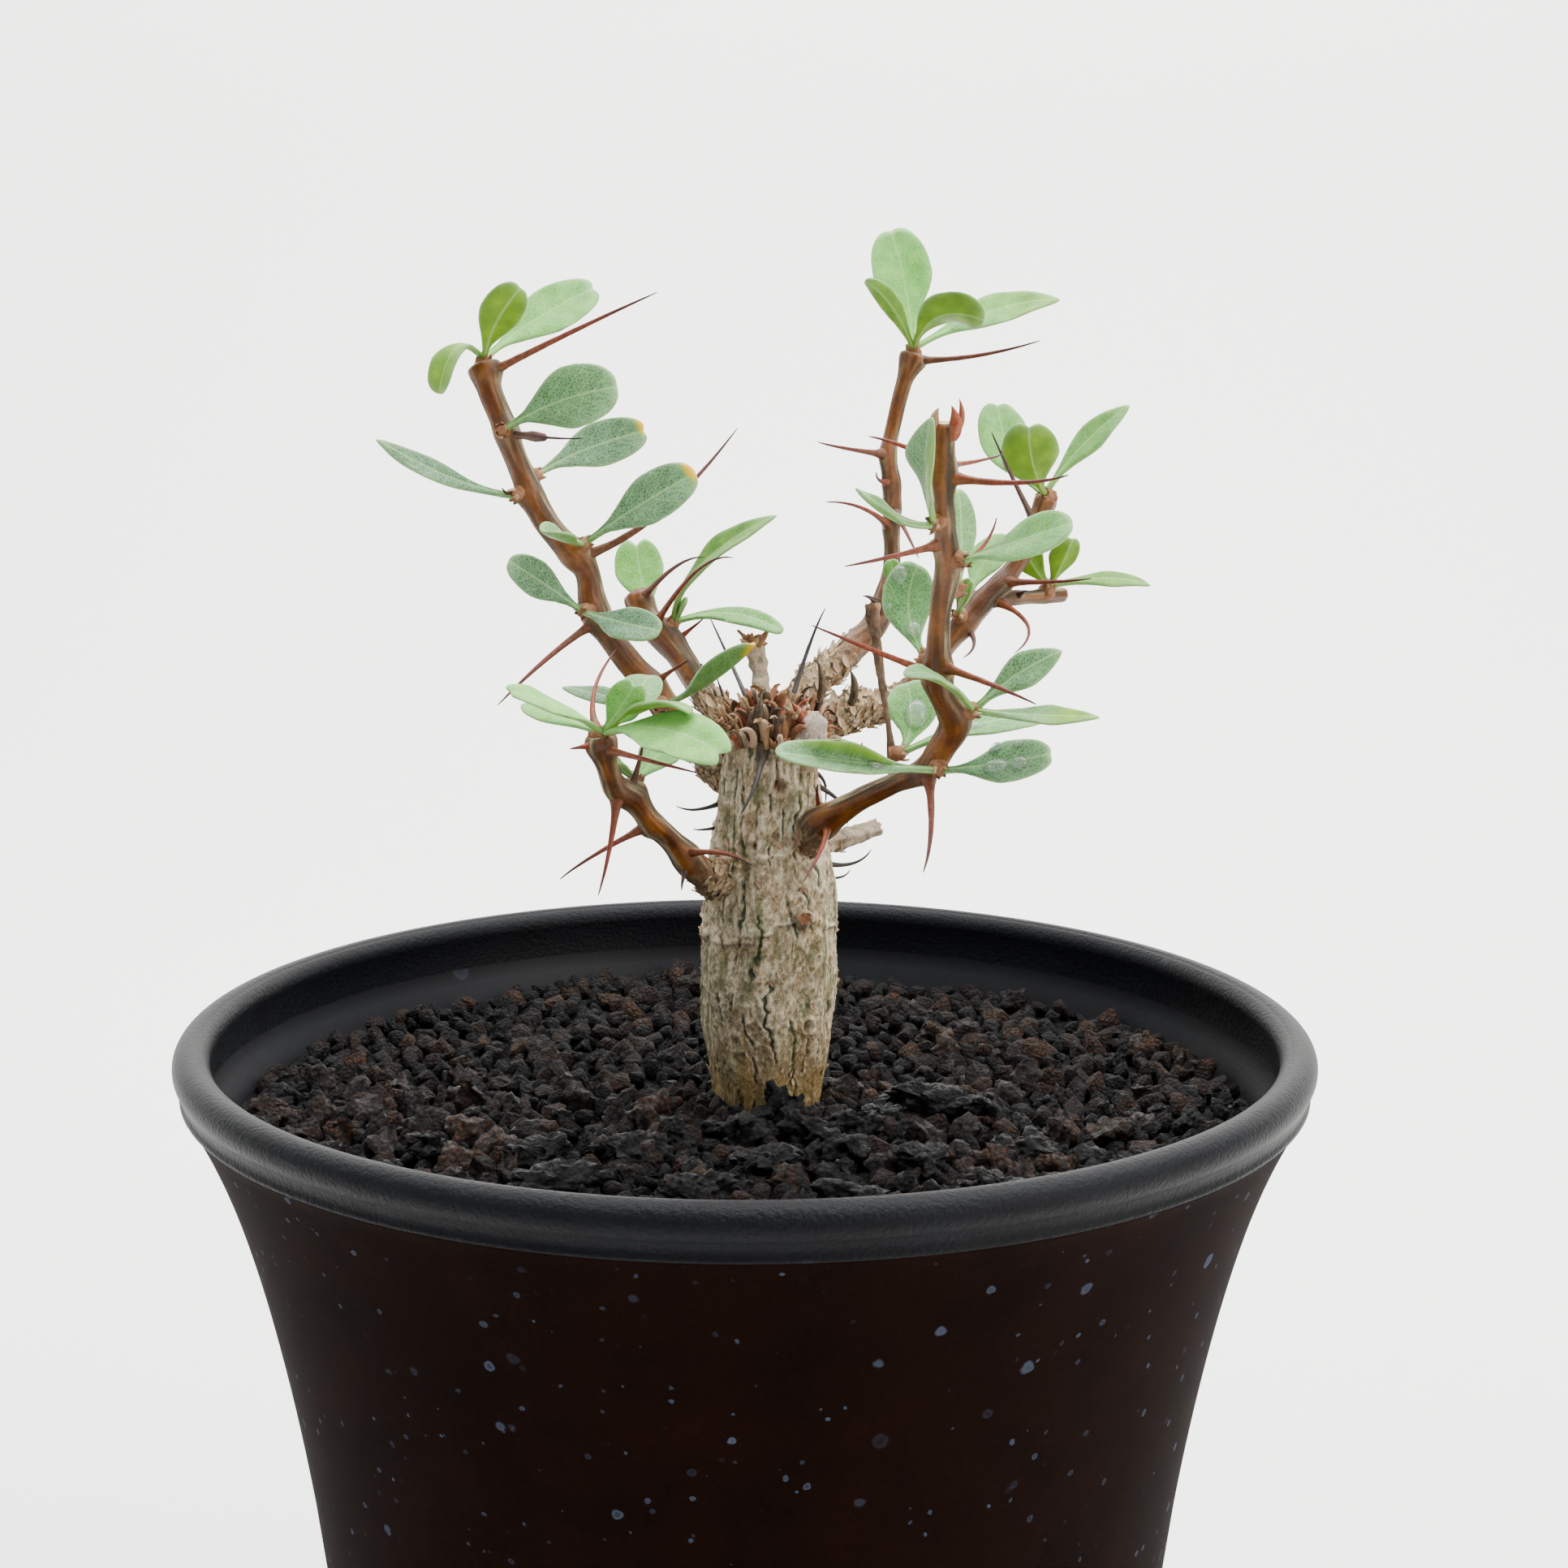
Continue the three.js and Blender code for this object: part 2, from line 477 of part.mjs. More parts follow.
// The middle of a bud, just proud of its branch's bark, or of the cut at the branch's end
function budPlace(branch, place) {
  const seat = nearestOn(pathsOf(branch), place);
  const outwards = vector(place).sub(seat.point).normalize();
  const bark = seat.atEnd ? 0 : seat.radius;
  return seat.point.clone().addScaledVector(outwards, bark + BUD_RADIUS * BUD_RISE);
}

// One leaf as a closed blade, folded along its rib, with a notch at the end
function leaf(from, [middle, tip, width, face, fold, notch]) {
  const curve = curveThrough(from, vector(middle), vector(tip));
  const facing = vector(face).normalize();
  const corners = [];
  LEAF_OUTLINE.forEach(([along, share], row) => {
    const centre = curve.getPoint(along);
    const tangent = curve.getTangent(along);
    const side = new THREE.Vector3().crossVectors(tangent, facing).normalize();
    const up = new THREE.Vector3().crossVectors(side, tangent).normalize();
    const half = Math.max(STALK, share * width / 2);
    const last = row === LEAF_OUTLINE.length - 1;
    for (const column of [-1, 0, 1]) {
      const point = centre.clone();
      point.addScaledVector(side, column * half * Math.cos(fold));
      point.addScaledVector(up, Math.abs(column) * half * Math.sin(fold));
      if (last && column === 0) point.addScaledVector(tangent, -notch * NOTCH_DEPTH);
      corners.push(point.clone().addScaledVector(up, BLADE / 2));
      corners.push(point.clone().addScaledVector(up, -BLADE / 2));
    }
  });
  return solidOf(bladeGeometry(corners, LEAF_OUTLINE.length));
}

// Faces of a blade from its corners: rows of three columns, each with a top and an under corner
function bladeGeometry(corners, rows) {
  const top = (row, column) => (row * 3 + column) * 2;
  const under = (row, column) => top(row, column) + 1;
  const faces = [];
  const quad = (a, b, c, d) => faces.push(a, b, c, a, c, d);
  for (let row = 0; row < rows - 1; row += 1) {
    for (let column = 0; column < 2; column += 1) {
      quad(top(row, column), top(row, column + 1), top(row + 1, column + 1), top(row + 1, column));
      faces.push(under(row, column), under(row + 1, column + 1), under(row, column + 1));
      faces.push(under(row, column), under(row + 1, column), under(row + 1, column + 1));
    }
    quad(top(row, 0), top(row + 1, 0), under(row + 1, 0), under(row, 0));
    quad(top(row, 2), under(row, 2), under(row + 1, 2), top(row + 1, 2));
  }
  for (let column = 0; column < 2; column += 1) {
    const end = rows - 1;
    quad(top(0, column), under(0, column), under(0, column + 1), top(0, column + 1));
    quad(top(end, column), top(end, column + 1), under(end, column + 1), under(end, column));
  }
  const geometry = new THREE.BufferGeometry();
  geometry.setAttribute('position', new THREE.Float32BufferAttribute(corners.flatMap((p) => p.toArray()), 3));
  geometry.setIndex(faces);
  return geometry;
}

function tuft({ on, bud, leaves }) {
  const branch = BRANCHES[on];
  const root = budPlace(branch, bud);
  const knob = new THREE.OctahedronGeometry(BUD_RADIUS, 0).translate(root.x, root.y, root.z);
  const whole = joined([solidOf(knob), ...leaves.map((entry) => leaf(root, entry))]);
  return mainBody(whole.subtract(branchStems(branch, GAP)).subtract(branchSpines(branch, GAP)));
}

// Pot: one closed outline turned round, with drain holes through the floor
function potSolid() {
  const rimMiddle = POT_HEIGHT - RIM_BEAD / 2;
  const beadRadius = RIM_DIAMETER / 2 - RIM_BEAD / 2;
  const footRadius = FOOT_DIAMETER / 2;
  const floorTop = FOOT_RECESS + FLOOR;
  const outline = [];
  const add = (radius, height) => outline.push(new THREE.Vector2(radius, height));
  add(0, FOOT_RECESS);
  add(footRadius - FOOT_RING - FOOT_RECESS, FOOT_RECESS);
  add(footRadius - FOOT_RING, 0);
  add(footRadius - FOOT_BEVEL, 0);
  add(footRadius, FOOT_BEVEL);
  [...WALL_PROFILE].reverse().forEach(([drop, radius]) => add(radius, rimMiddle - drop));
  for (let turn = BEAD_START; turn <= 180; turn += BEAD_STEP) {
    const angle = THREE.MathUtils.degToRad(turn);
    add(beadRadius + Math.cos(angle) * RIM_BEAD / 2, rimMiddle + Math.sin(angle) * RIM_BEAD / 2);
  }
  WALL_PROFILE.filter((point, index) => index % 2 === 1)
    .forEach(([drop, radius]) => add(radius - WALL, rimMiddle - drop));
  add(footRadius - WALL, floorTop + FLOOR_FILLET);
  add(footRadius - WALL - FLOOR_FILLET, floorTop);
  add(0, floorTop);
  let pot = solidOf(turned(outline));
  for (let index = 0; index < DRAIN_COUNT; index += 1) {
    const angle = (index / DRAIN_COUNT) * Math.PI * 2;
    const hole = new THREE.CylinderGeometry(DRAIN_DIAMETER / 2, DRAIN_DIAMETER / 2, FLOOR * 3, DRAIN_SIDES);
    hole.rotateX(Math.PI / 2);
    hole.translate(Math.cos(angle) * DRAIN_CIRCLE / 2, Math.sin(angle) * DRAIN_CIRCLE / 2, FOOT_RECESS);
    pot = pot.subtract(solidOf(hole));
  }
  return pot;
}

// A closed outline of radius and height, turned round the Z axis
function turned(outline) {
  return new THREE.LatheGeometry(outline, POT_SEGMENTS).rotateX(Math.PI / 2);
}

// Space that the soil fills inside the pot, from the floor to above the grains
function soilRoom() {
  const rimMiddle = POT_HEIGHT - RIM_BEAD / 2;
  const floorTop = FOOT_RECESS + FLOOR + GAP;
  const wallInset = WALL + GAP + FACET_CLEARANCE;
  const footRadius = FOOT_DIAMETER / 2 - wallInset;
  const outline = [];
  const add = (radius, height) => outline.push(new THREE.Vector2(radius, height));
  add(0, floorTop);
  add(footRadius - FLOOR_FILLET, floorTop);
  add(footRadius, floorTop + FLOOR_FILLET + FACET_CLEARANCE);
  [...WALL_PROFILE].reverse().filter((point, index) => index % 2 === 0)
    .forEach(([drop, radius]) => add(radius - wallInset, rimMiddle - drop));
  add(0, rimMiddle);
  return solidOf(turned(outline));
}

// Grit: a jittered six-sided cell for each grain, raised to a tilted three-cornered top
function gritSlab() {
  const random = seededRandom(2407);
  const reach = Math.ceil(RIM_DIAMETER / 2 / (GRAIN_PITCH * HEX_ROW)) + 1;
  const centres = new Map();
  const key = (column, row) => `${column},${row}`;
  for (let row = -reach; row <= reach; row += 1) {
    for (let column = -reach * 2; column <= reach * 2; column += 1) {
      const x = (column + row / 2) * GRAIN_PITCH;
      const y = row * GRAIN_PITCH * HEX_ROW;
      const jitter = () => (random() - 0.5) * GRAIN_PITCH * GRAIN_JITTER;
      const centre = { x: x + jitter(), y: y + jitter(), rise: random(), tiltX: jitter(), tiltY: jitter() };
      if (Math.hypot(x, y) < RIM_DIAMETER / 2 + GRAIN_PITCH) centres.set(key(column, row), centre);
    }
  }
  const neighbours = [[1, 0], [0, 1], [-1, 1], [-1, 0], [0, -1], [1, -1]];
  const points = [];
  const indexOf = new Map();
  const pointAt = (name, x, y, z) => {
    if (!indexOf.has(name)) indexOf.set(name, points.push([x, y, z]) - 1);
    return indexOf.get(name);
  };
  const faces = [];
  for (const [name, centre] of centres) {
    const [column, row] = name.split(',').map(Number);
    const around = neighbours.map((step) => key(column + step[0], row + step[1]))
      .map((otherName) => [otherName, centres.get(otherName)]);
    if (around.some(([, other]) => !other)) continue;
    const level = SOIL_TOP - GRAIN_LIFT - (1 - centre.rise) * GRAIN_SPREAD;
    const edge = around.map(([otherName, other], side) => {
      const [nextName, next] = around[(side + 1) % 6];
      const x = (centre.x + other.x + next.x) / 3;
      const y = (centre.y + other.y + next.y) / 3;
      const low = pointAt([name, otherName, nextName].sort().join(' '), x, y, GRAIN_FOOT);
      const topX = THREE.MathUtils.lerp(centre.x, x, GRAIN_TOP_SHARE);
      const topY = THREE.MathUtils.lerp(centre.y, y, GRAIN_TOP_SHARE);
      const slope = ((x - centre.x) * centre.tiltX + (y - centre.y) * centre.tiltY) * GRAIN_TILT;
      const tilt = THREE.MathUtils.clamp(slope, -GRAIN_DIP, GRAIN_LIFT);
      const high = pointAt(`${name} high ${side}`, topX, topY, level + tilt);
      return { low, high };
    });
    const start = centre.rise > 0.5 ? 1 : 0;
    const corners = [start, start + 2, (start + 4) % 6];
    faces.push(corners.map((side) => edge[side].high));
    for (const side of corners) {
      const [here, next, beyond] = [edge[side], edge[(side + 1) % 6], edge[(side + 2) % 6]];
      faces.push([here.high, here.low, next.low], [here.high, next.low, beyond.high]);
      faces.push([beyond.high, next.low, beyond.low]);
    }
  }
  return solidOf(slabUnder(points, faces));
}

// Closes a surface seen from above into a slab that reaches well below it
function slabUnder(points, faces) {
  const count = points.length;
  const edges = new Map();
  const all = [...faces];
  for (const [a, b, c] of faces) {
    all.push([a + count, c + count, b + count]);
    for (const [from, to] of [[a, b], [b, c], [c, a]]) edges.set(`${from} ${to}`, [from, to]);
  }
  for (const [from, to] of edges.values()) {
    if (edges.has(`${to} ${from}`)) continue;
    all.push([from, from + count, to + count], [from, to + count, to]);
  }
  const geometry = new THREE.BufferGeometry();
  const lower = points.map(([x, y]) => [x, y, SLAB_BOTTOM]);
  geometry.setAttribute('position', new THREE.Float32BufferAttribute([...points, ...lower].flat(), 3));
  geometry.setIndex(all.flat());
  return geometry;
}

function trunkRadius(height) {
  const above = TRUNK_PROFILE.findIndex(([level]) => level > height);
  if (above <= 0) return TRUNK_PROFILE[above === 0 ? 0 : TRUNK_PROFILE.length - 1][1];
  const [lowLevel, lowRadius] = TRUNK_PROFILE[above - 1];
  const [highLevel, highRadius] = TRUNK_PROFILE[above];
  return THREE.MathUtils.mapLinear(height, lowLevel, highLevel, lowRadius, highRadius);
}

// Flaky bark: long uneven ridges that wander round the trunk as they climb
function barkRelief(angle, height) {
  if (height < BARK_START + BARK_STEP || height > BARK_END) return 0;
  const waves = BARK_RIDGES.map(([count, turn, share]) => share * Math.sin(count * angle + turn * height));
  return BARK_RELIEF * waves.reduce((sum, wave) => sum + wave);
}

function trunkBody(grow = 0) {
  const levels = [];
  for (let height = ROOT_END; height < BARK_START - BARK_STEP; height += ROOT_STEP) levels.push(height);
  for (let height = BARK_START; height <= BARK_END; height += BARK_STEP) levels.push(height);
  levels.push((BARK_END + TRUNK_TOP) / 2, TRUNK_TOP);
  const bar = new THREE.CylinderGeometry(1, 1, 1, TRUNK_SIDES, levels.length - 1);
  const position = bar.attributes.position;
  for (let i = 0; i < position.count; i += 1) {
    const height = levels[Math.round((position.getY(i) + 0.5) * (levels.length - 1))];
    const angle = Math.atan2(position.getZ(i), position.getX(i));
    const onAxis = Math.hypot(position.getX(i), position.getZ(i)) < 0.5;
    const radius = onAxis ? 0 : trunkRadius(height) + barkRelief(angle, height) + grow;
    const top = height === TRUNK_TOP ? grow : 0;
    position.setXYZ(i, TRUNK_X + Math.cos(angle) * radius, -Math.sin(angle) * radius, height + top);
  }
  return joined([solidOf(bar), ...TRUNK_STUBS.map((points) => stem(points, BRANCH_SIDES, grow))]);
}

// Dried scales and bud remains on the crown: short points, each curled its own way
function crownScales() {
  const random = seededRandom(77);
  const between = (low, high) => THREE.MathUtils.lerp(low, high, random());
  const scales = [];
  for (let index = 0; index < CROWN_SCALES; index += 1) {
    const angle = index * GOLDEN_ANGLE + random();
    const reach = CROWN_REACH * Math.sqrt((index + 0.6) / CROWN_SCALES);
    const outwards = new THREE.Vector3(Math.cos(angle), Math.sin(angle), 0);
    const curl = outwards.clone().applyAxisAngle(new THREE.Vector3(0, 0, 1), between(-1.5, 1.5));
    const root = new THREE.Vector3(TRUNK_X, 0, CROWN_LEVEL - reach * CROWN_SLOPE);
    root.addScaledVector(outwards, reach);
    const bend = root.clone().addScaledVector(outwards, between(0.8, 1.6));
    bend.z += between(2.2, 3.8);
    const tip = bend.clone().addScaledVector(curl, between(1, 2.8));
    tip.z += between(-0.7, 1.1);
    scales.push(spine(root, [null, bend.toArray(), tip.toArray(), between(1.1, 1.7)]));
  }
  return joined(scales);
}

function trunkSolid() {
  const body = trunkBody();
  const carriers = [[[TRUNK_X, 0, ROOT_END, 1], [TRUNK_X, 0, TRUNK_TOP, 1]], ...TRUNK_STUBS];
  const spines = TRUNK_SPINES.map((entry) => {
    const seat = nearestOn(carriers, entry[0]).point;
    return spine(seat.lerp(vector(entry[0]), SPINE_SEAT), entry);
  });
  const grown = joined(Object.values(BRANCHES).map((branch) => branchStems(branch, GAP)));
  return mainBody(body.add(joined([...spines, crownScales()]).subtract(grown)));
}

// The plain hole in the soil that the trunk's foot and root stand in
function trunkHole() {
  const points = TRUNK_PROFILE.filter(([height]) => height <= HOLE_TOP).map(([height, radius]) =>
    new THREE.Vector2(radius + HOLE_CLEARANCE, height));
  points.unshift(new THREE.Vector2(0, ROOT_END - HOLE_CLEARANCE));
  points[1].y = ROOT_END - HOLE_CLEARANCE;
  points.push(new THREE.Vector2(0, points[points.length - 1].y));
  return solidOf(new THREE.LatheGeometry(points, TRUNK_SIDES).rotateX(Math.PI / 2).translate(TRUNK_X, 0, 0));
}

const plant = new THREE.Group();
const soil = mainBody(soilRoom().intersect(gritSlab()).subtract(trunkHole()));
plant.add(pieceOf('pot', potSolid(), COLOURS.pot, 0.55));
plant.add(pieceOf('soil', soil, COLOURS.soil, 0.95));
plant.add(pieceOf('trunk', trunkSolid(), COLOURS.trunk, 0.9));

// Branches meet the trunk, and each other at the crown, with a small gap
const earlier = [trunkBody(GAP)];
for (const [name, branch] of Object.entries(BRANCHES)) {
  const whole = branchStems(branch).add(branchSpines(branch));
  plant.add(pieceOf(name, mainBody(whole.subtract(joined(earlier))), COLOURS.branch, 0.6));
  earlier.push(branchStems(branch, GAP));
}
for (const [name, entry] of Object.entries(TUFTS)) {
  plant.add(pieceOf(name, tuft(entry), COLOURS.leaf, 0.7));
}

export default plant;
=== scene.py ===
# Potted boojum tree: the looks of the plant and its pot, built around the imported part.
# Sizes and places are in millimetres, and mm turns them into Blender's metres.
import json
import math
import random

import bmesh
import bpy
import numpy as np
from mathutils import Matrix, Vector, noise

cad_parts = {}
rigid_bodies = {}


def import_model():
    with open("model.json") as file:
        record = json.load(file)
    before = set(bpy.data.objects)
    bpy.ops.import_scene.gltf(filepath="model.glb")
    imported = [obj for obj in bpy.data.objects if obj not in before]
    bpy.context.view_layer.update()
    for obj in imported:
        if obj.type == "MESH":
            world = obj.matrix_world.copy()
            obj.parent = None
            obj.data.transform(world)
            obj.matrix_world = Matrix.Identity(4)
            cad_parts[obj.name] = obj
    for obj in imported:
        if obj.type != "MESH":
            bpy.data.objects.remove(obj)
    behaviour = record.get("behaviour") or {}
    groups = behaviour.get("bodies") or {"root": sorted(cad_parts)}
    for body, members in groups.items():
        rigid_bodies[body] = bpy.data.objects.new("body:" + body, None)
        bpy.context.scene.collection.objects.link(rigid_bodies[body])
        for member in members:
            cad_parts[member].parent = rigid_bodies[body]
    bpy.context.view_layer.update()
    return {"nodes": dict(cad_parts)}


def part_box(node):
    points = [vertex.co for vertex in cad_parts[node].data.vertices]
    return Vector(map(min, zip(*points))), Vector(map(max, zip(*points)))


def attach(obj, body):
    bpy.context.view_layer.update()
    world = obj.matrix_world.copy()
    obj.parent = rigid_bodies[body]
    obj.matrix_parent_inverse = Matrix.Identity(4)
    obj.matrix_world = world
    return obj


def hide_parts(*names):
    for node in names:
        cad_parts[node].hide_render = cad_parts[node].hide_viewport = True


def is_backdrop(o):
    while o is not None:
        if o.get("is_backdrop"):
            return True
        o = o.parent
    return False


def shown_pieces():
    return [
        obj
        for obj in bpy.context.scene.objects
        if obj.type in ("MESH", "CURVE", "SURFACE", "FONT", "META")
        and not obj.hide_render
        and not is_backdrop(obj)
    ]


mm = 0.001
fullTurn = 2 * math.pi
goldenAngle = math.pi * (3 - math.sqrt(5))

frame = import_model()
print("frame loaded with", len(frame["nodes"]), "nodes")


def linearColour(text):
    # sRGB hex to the linear colour that sockets take
    channels = [int(text[i:i + 2], 16) / 255 for i in (1, 3, 5)]
    curve = [c / 12.92 if c <= 0.04045 else ((c + 0.055) / 1.055) ** 2.4 for c in channels]
    return (*curve, 1.0)


def socketValue(value):
    # hex text is a colour, anything else goes in as it is
    return linearColour(value) if isinstance(value, str) and value.startswith("#") else value


def socketOf(source):
    # a node stands for its first output
    return source.outputs[0] if isinstance(source, bpy.types.Node) else source


def addNode(tree, kind, settings=None, links=None):
    # one node with its settings, socket values and incoming links
    node = tree.nodes.new(kind)
    sockets = {}
    for name, value in (settings or {}).items():
        if name == "stops":  # a colour ramp's places and colours
            ramp = node.color_ramp.elements
            while len(ramp) < len(value):
                ramp.new(0.5)
            for element, (place, colour) in zip(ramp, value):
                element.position = place
                element.color = linearColour(colour) if isinstance(colour, str) else (colour,) * 3 + (1,)
        elif isinstance(name, int) or name in node.inputs:
            sockets[name] = value
        else:
            setattr(node, name, value)
    for name, value in sockets.items():
        node.inputs[name].default_value = socketValue(value)
    for name, source in (links or {}).items():
        tree.links.new(socketOf(source), node.inputs[name])
    return node


# A Mix node lays one colour over another or multiplies the two. Its socket 0 is the share,
# 6 and 7 are the colours, and output 2 is the result.
overlay = {"data_type": "RGBA"}
multiply = {"data_type": "RGBA", "blend_type": "MULTIPLY", 0: 1.0}


def newMaterial(name, settings):
    material = bpy.data.materials.new(name)
    material.use_nodes = True
    tree = material.node_tree
    shader = tree.nodes["Principled BSDF"]
    for socket, value in settings.items():
        shader.inputs[socket].default_value = socketValue(value)
    return material, tree, shader


def inMillimetres(tree, stretch=(1, 1, 1), turn=(0, 0, 0)):
    # the object's own coordinates, for patterns whose sizes are given in millimetres
    place = addNode(tree, "ShaderNodeTexCoord")
    return addNode(tree, "ShaderNodeMapping", {"Scale": [s / mm for s in stretch], "Rotation": turn},
                   {"Vector": place.outputs["Object"]})


def joinSurface(tree, shader, colour, relief, depth, strength=1.0, roughness=None):
    # the colour, a relief of a depth in millimetres and the roughness reach the shader
    bump = addNode(tree, "ShaderNodeBump", {"Strength": strength, "Distance": depth * mm}, {"Height": relief})
    for socket, source in (("Base Color", colour), ("Normal", bump), ("Roughness", roughness)):
        if source is not None:
            tree.links.new(socketOf(source), shader.inputs[socket])


class Shape:
    # points in millimetres, faces, a material slot for each face and values for each point
    def __init__(self, *names):
        self.points, self.faces, self.slots, self.spots = [], [], [], []
        self.values = {name: [] for name in names}

    def add(self, points, faces, slot=0, uv=None, **values):
        first = len(self.points)
        self.points.extend(tuple(float(c) for c in p) for p in points)
        self.faces.extend(tuple(first + int(i) for i in face) for face in faces)
        self.slots.extend([slot] * len(faces))
        self.spots.extend([(0.0, 0.0)] * len(points) if uv is None else [tuple(p) for p in uv])
        for name, store in self.values.items():
            given = values.get(name, 0.0)
            store.extend(given if hasattr(given, "__len__") else [given] * len(points))

    def piece(self, name, materials, slotName, replaced=()):
        mesh = bpy.data.meshes.new(name)
        mesh.from_pydata([tuple(c * mm for c in p) for p in self.points], [], self.faces)
        mesh.polygons.foreach_set("use_smooth", [True] * len(self.faces))
        mesh.polygons.foreach_set("material_index", self.slots)
        for attribute, store in self.values.items():
            layer = mesh.attributes.new(attribute, "FLOAT", "POINT")
            layer.data.foreach_set("value", [float(v) for v in store])
        layer = mesh.uv_layers.new(name="UVMap")
        corners = np.zeros(len(mesh.loops), int)
        mesh.loops.foreach_get("vertex_index", corners)
        layer.data.foreach_set("uv", np.array(self.spots, float)[corners].ravel())
        for material in materials:
            mesh.materials.append(material)
        mesh.update()
        return placed(bpy.data.objects.new(name, mesh), replaced)


def onStage(thing):
    bpy.context.scene.collection.objects.link(thing)
    return thing


def placed(piece, replaced=()):
    # every piece rides on the plant's one body, and the imported parts it replaces are hidden
    if piece.name not in bpy.context.scene.collection.objects:
        onStage(piece)
    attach(piece, "root")
    if replaced:
        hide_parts(*replaced)
    return piece


def gridFaces(rows, columns, closed):
    # quads between rows of points, closed where the last column meets the first
    faces = []
    for row in range(rows - 1):
        for column in range(columns if closed else columns - 1):
            after = (column + 1) % columns
            a, b = row * columns + column, row * columns + after
            faces.append((a, b, b + columns, a + columns))
    return faces


def closeEnds(shape, rings, sides, bottom, top, slots=(0, 0), **values):
    # a middle point below and above a stack of rings, and the fans that join them to it
    shape.add([bottom, top], [], **values)
    low = len(shape.points) - 2
    last = (rings - 1) * sides
    shape.faces += [(low, (i + 1) % sides, i) for i in range(sides)]
    shape.faces += [(low + 1, last + i, last + (i + 1) % sides) for i in range(sides)]
    shape.slots += [slots[0]] * sides + [slots[1]] * sides


def smoothStep(low, high, value):
    share = np.clip((value - low) / (high - low), 0, 1)
    return share * share * (3 - 2 * share)


def around(count):
    return np.linspace(0, fullTurn, count, endpoint=False)


def unit(vector):
    vector = np.array(vector, float)
    return vector / max(np.linalg.norm(vector), 1e-9)


def lengthsAlong(line):
    # how far each point of a line is from its start
    return np.concatenate([[0], np.cumsum(np.linalg.norm(np.diff(line, axis=0), axis=1))])


def throughPoints(points, spacing):
    # centripetal curve through points [x, y, z, radius], as evenly spaced centres and radii
    given = np.array(points, float)
    place, radius = given[:, :3], given[:, 3]
    ghost = np.concatenate([[2 * place[0] - place[1]], place, [2 * place[-1] - place[-2]]])
    centres, radii = [], []
    for index in range(len(place) - 1):
        p0, p1, p2, p3 = ghost[index:index + 4]
        d0, d1, d2 = (max(np.linalg.norm(b - a), 1e-4) ** 0.5 for a, b in ((p0, p1), (p1, p2), (p2, p3)))
        t1 = ((p1 - p0) / d0 - (p2 - p0) / (d0 + d1) + (p2 - p1) / d1) * d1
        t2 = ((p2 - p1) / d1 - (p3 - p1) / (d1 + d2) + (p3 - p2) / d2) * d1
        for share in np.linspace(0, 1, 24, endpoint=index == len(place) - 2):
            cubic = (2 * p1 - 2 * p2 + t1 + t2) * share ** 3
            cubic += (-3 * p1 + 3 * p2 - 2 * t1 - t2) * share ** 2 + t1 * share + p1
            centres.append(cubic)
            radii.append(radius[index] + (radius[index + 1] - radius[index]) * smoothStep(0, 1, share))
    centres, radii = np.array(centres), np.array(radii)
    length = lengthsAlong(centres)
    steps = np.linspace(0, length[-1], max(4, int(length[-1] / spacing)))
    even = np.stack([np.interp(steps, length, centres[:, axis]) for axis in range(3)], axis=1)
    return even, np.interp(steps, length, radii), steps


def curveThrough(start, middle, end, count):
    # quadratic curve that passes through a middle point
    start, middle, end = (np.array(p, float) for p in (start, middle, end))
    control = 2 * middle - (start + end) / 2
    share = np.linspace(0, 1, count)[:, None]
    return (1 - share) ** 2 * start + 2 * share * (1 - share) * control + share ** 2 * end


def directionsAlong(line):
    tangents = np.gradient(line, axis=0)
    return tangents / np.linalg.norm(tangents, axis=1)[:, None]


def ringFrames(centres, guide=(0.13, 0.99, 0.07)):
    # two directions across the line at each centre, carried along it without twist
    tangents = directionsAlong(centres)
    side = np.cross(guide, tangents[0])
    sides = []
    for tangent in tangents:
        side = unit(side - tangent * np.dot(side, tangent))
        sides.append(side)
    sides = np.array(sides)
    return tangents, sides, np.cross(tangents, sides)


def addTube(shape, centres, radii, sides, relief, slot=0, endSlot=None, **values):
    # round stem along its centres. relief(ring, angle) adds millimetres and may give more values
    _, across, up = ringFrames(centres)
    points, extra = [], {name: [] for name in shape.values}
    for ring, centre in enumerate(centres):
        for angle in around(sides):
            lift, given = relief(ring, angle)
            radius = max(radii[ring] + lift, 0.01)
            points.append(centre + (across[ring] * math.cos(angle) + up[ring] * math.sin(angle)) * radius)
            for name, store in extra.items():
                value = given.get(name, values.get(name, 0.0))
                store.append(value[ring] if hasattr(value, "__len__") else value)
    shape.add(points, gridFaces(len(centres), sides, True), slot, **extra)
    # each end is a fan of its own, so that its edge stays sharp
    lower = [((i + 1) % sides, i, sides) for i in range(sides)]
    upper = [(i, (i + 1) % sides, sides) for i in range(sides)]
    for rim, fan, near, cap in ((points[:sides], lower, 0, slot),
                                (points[-sides:], upper, -1, slot if endSlot is None else endSlot)):
        nearby = {name: store[near] for name, store in extra.items()}
        shape.add([*rim, np.mean(rim, axis=0)], fan, cap, **nearby)


def grain(point, across, along=1.0):
    # Perlin noise at a place in millimetres, with its own size across and along the stem
    return noise.noise(Vector((point[0] / across, point[1] / across, point[2] / along)))


# Pot: injection moulded polypropylene, 15 cm nursery size

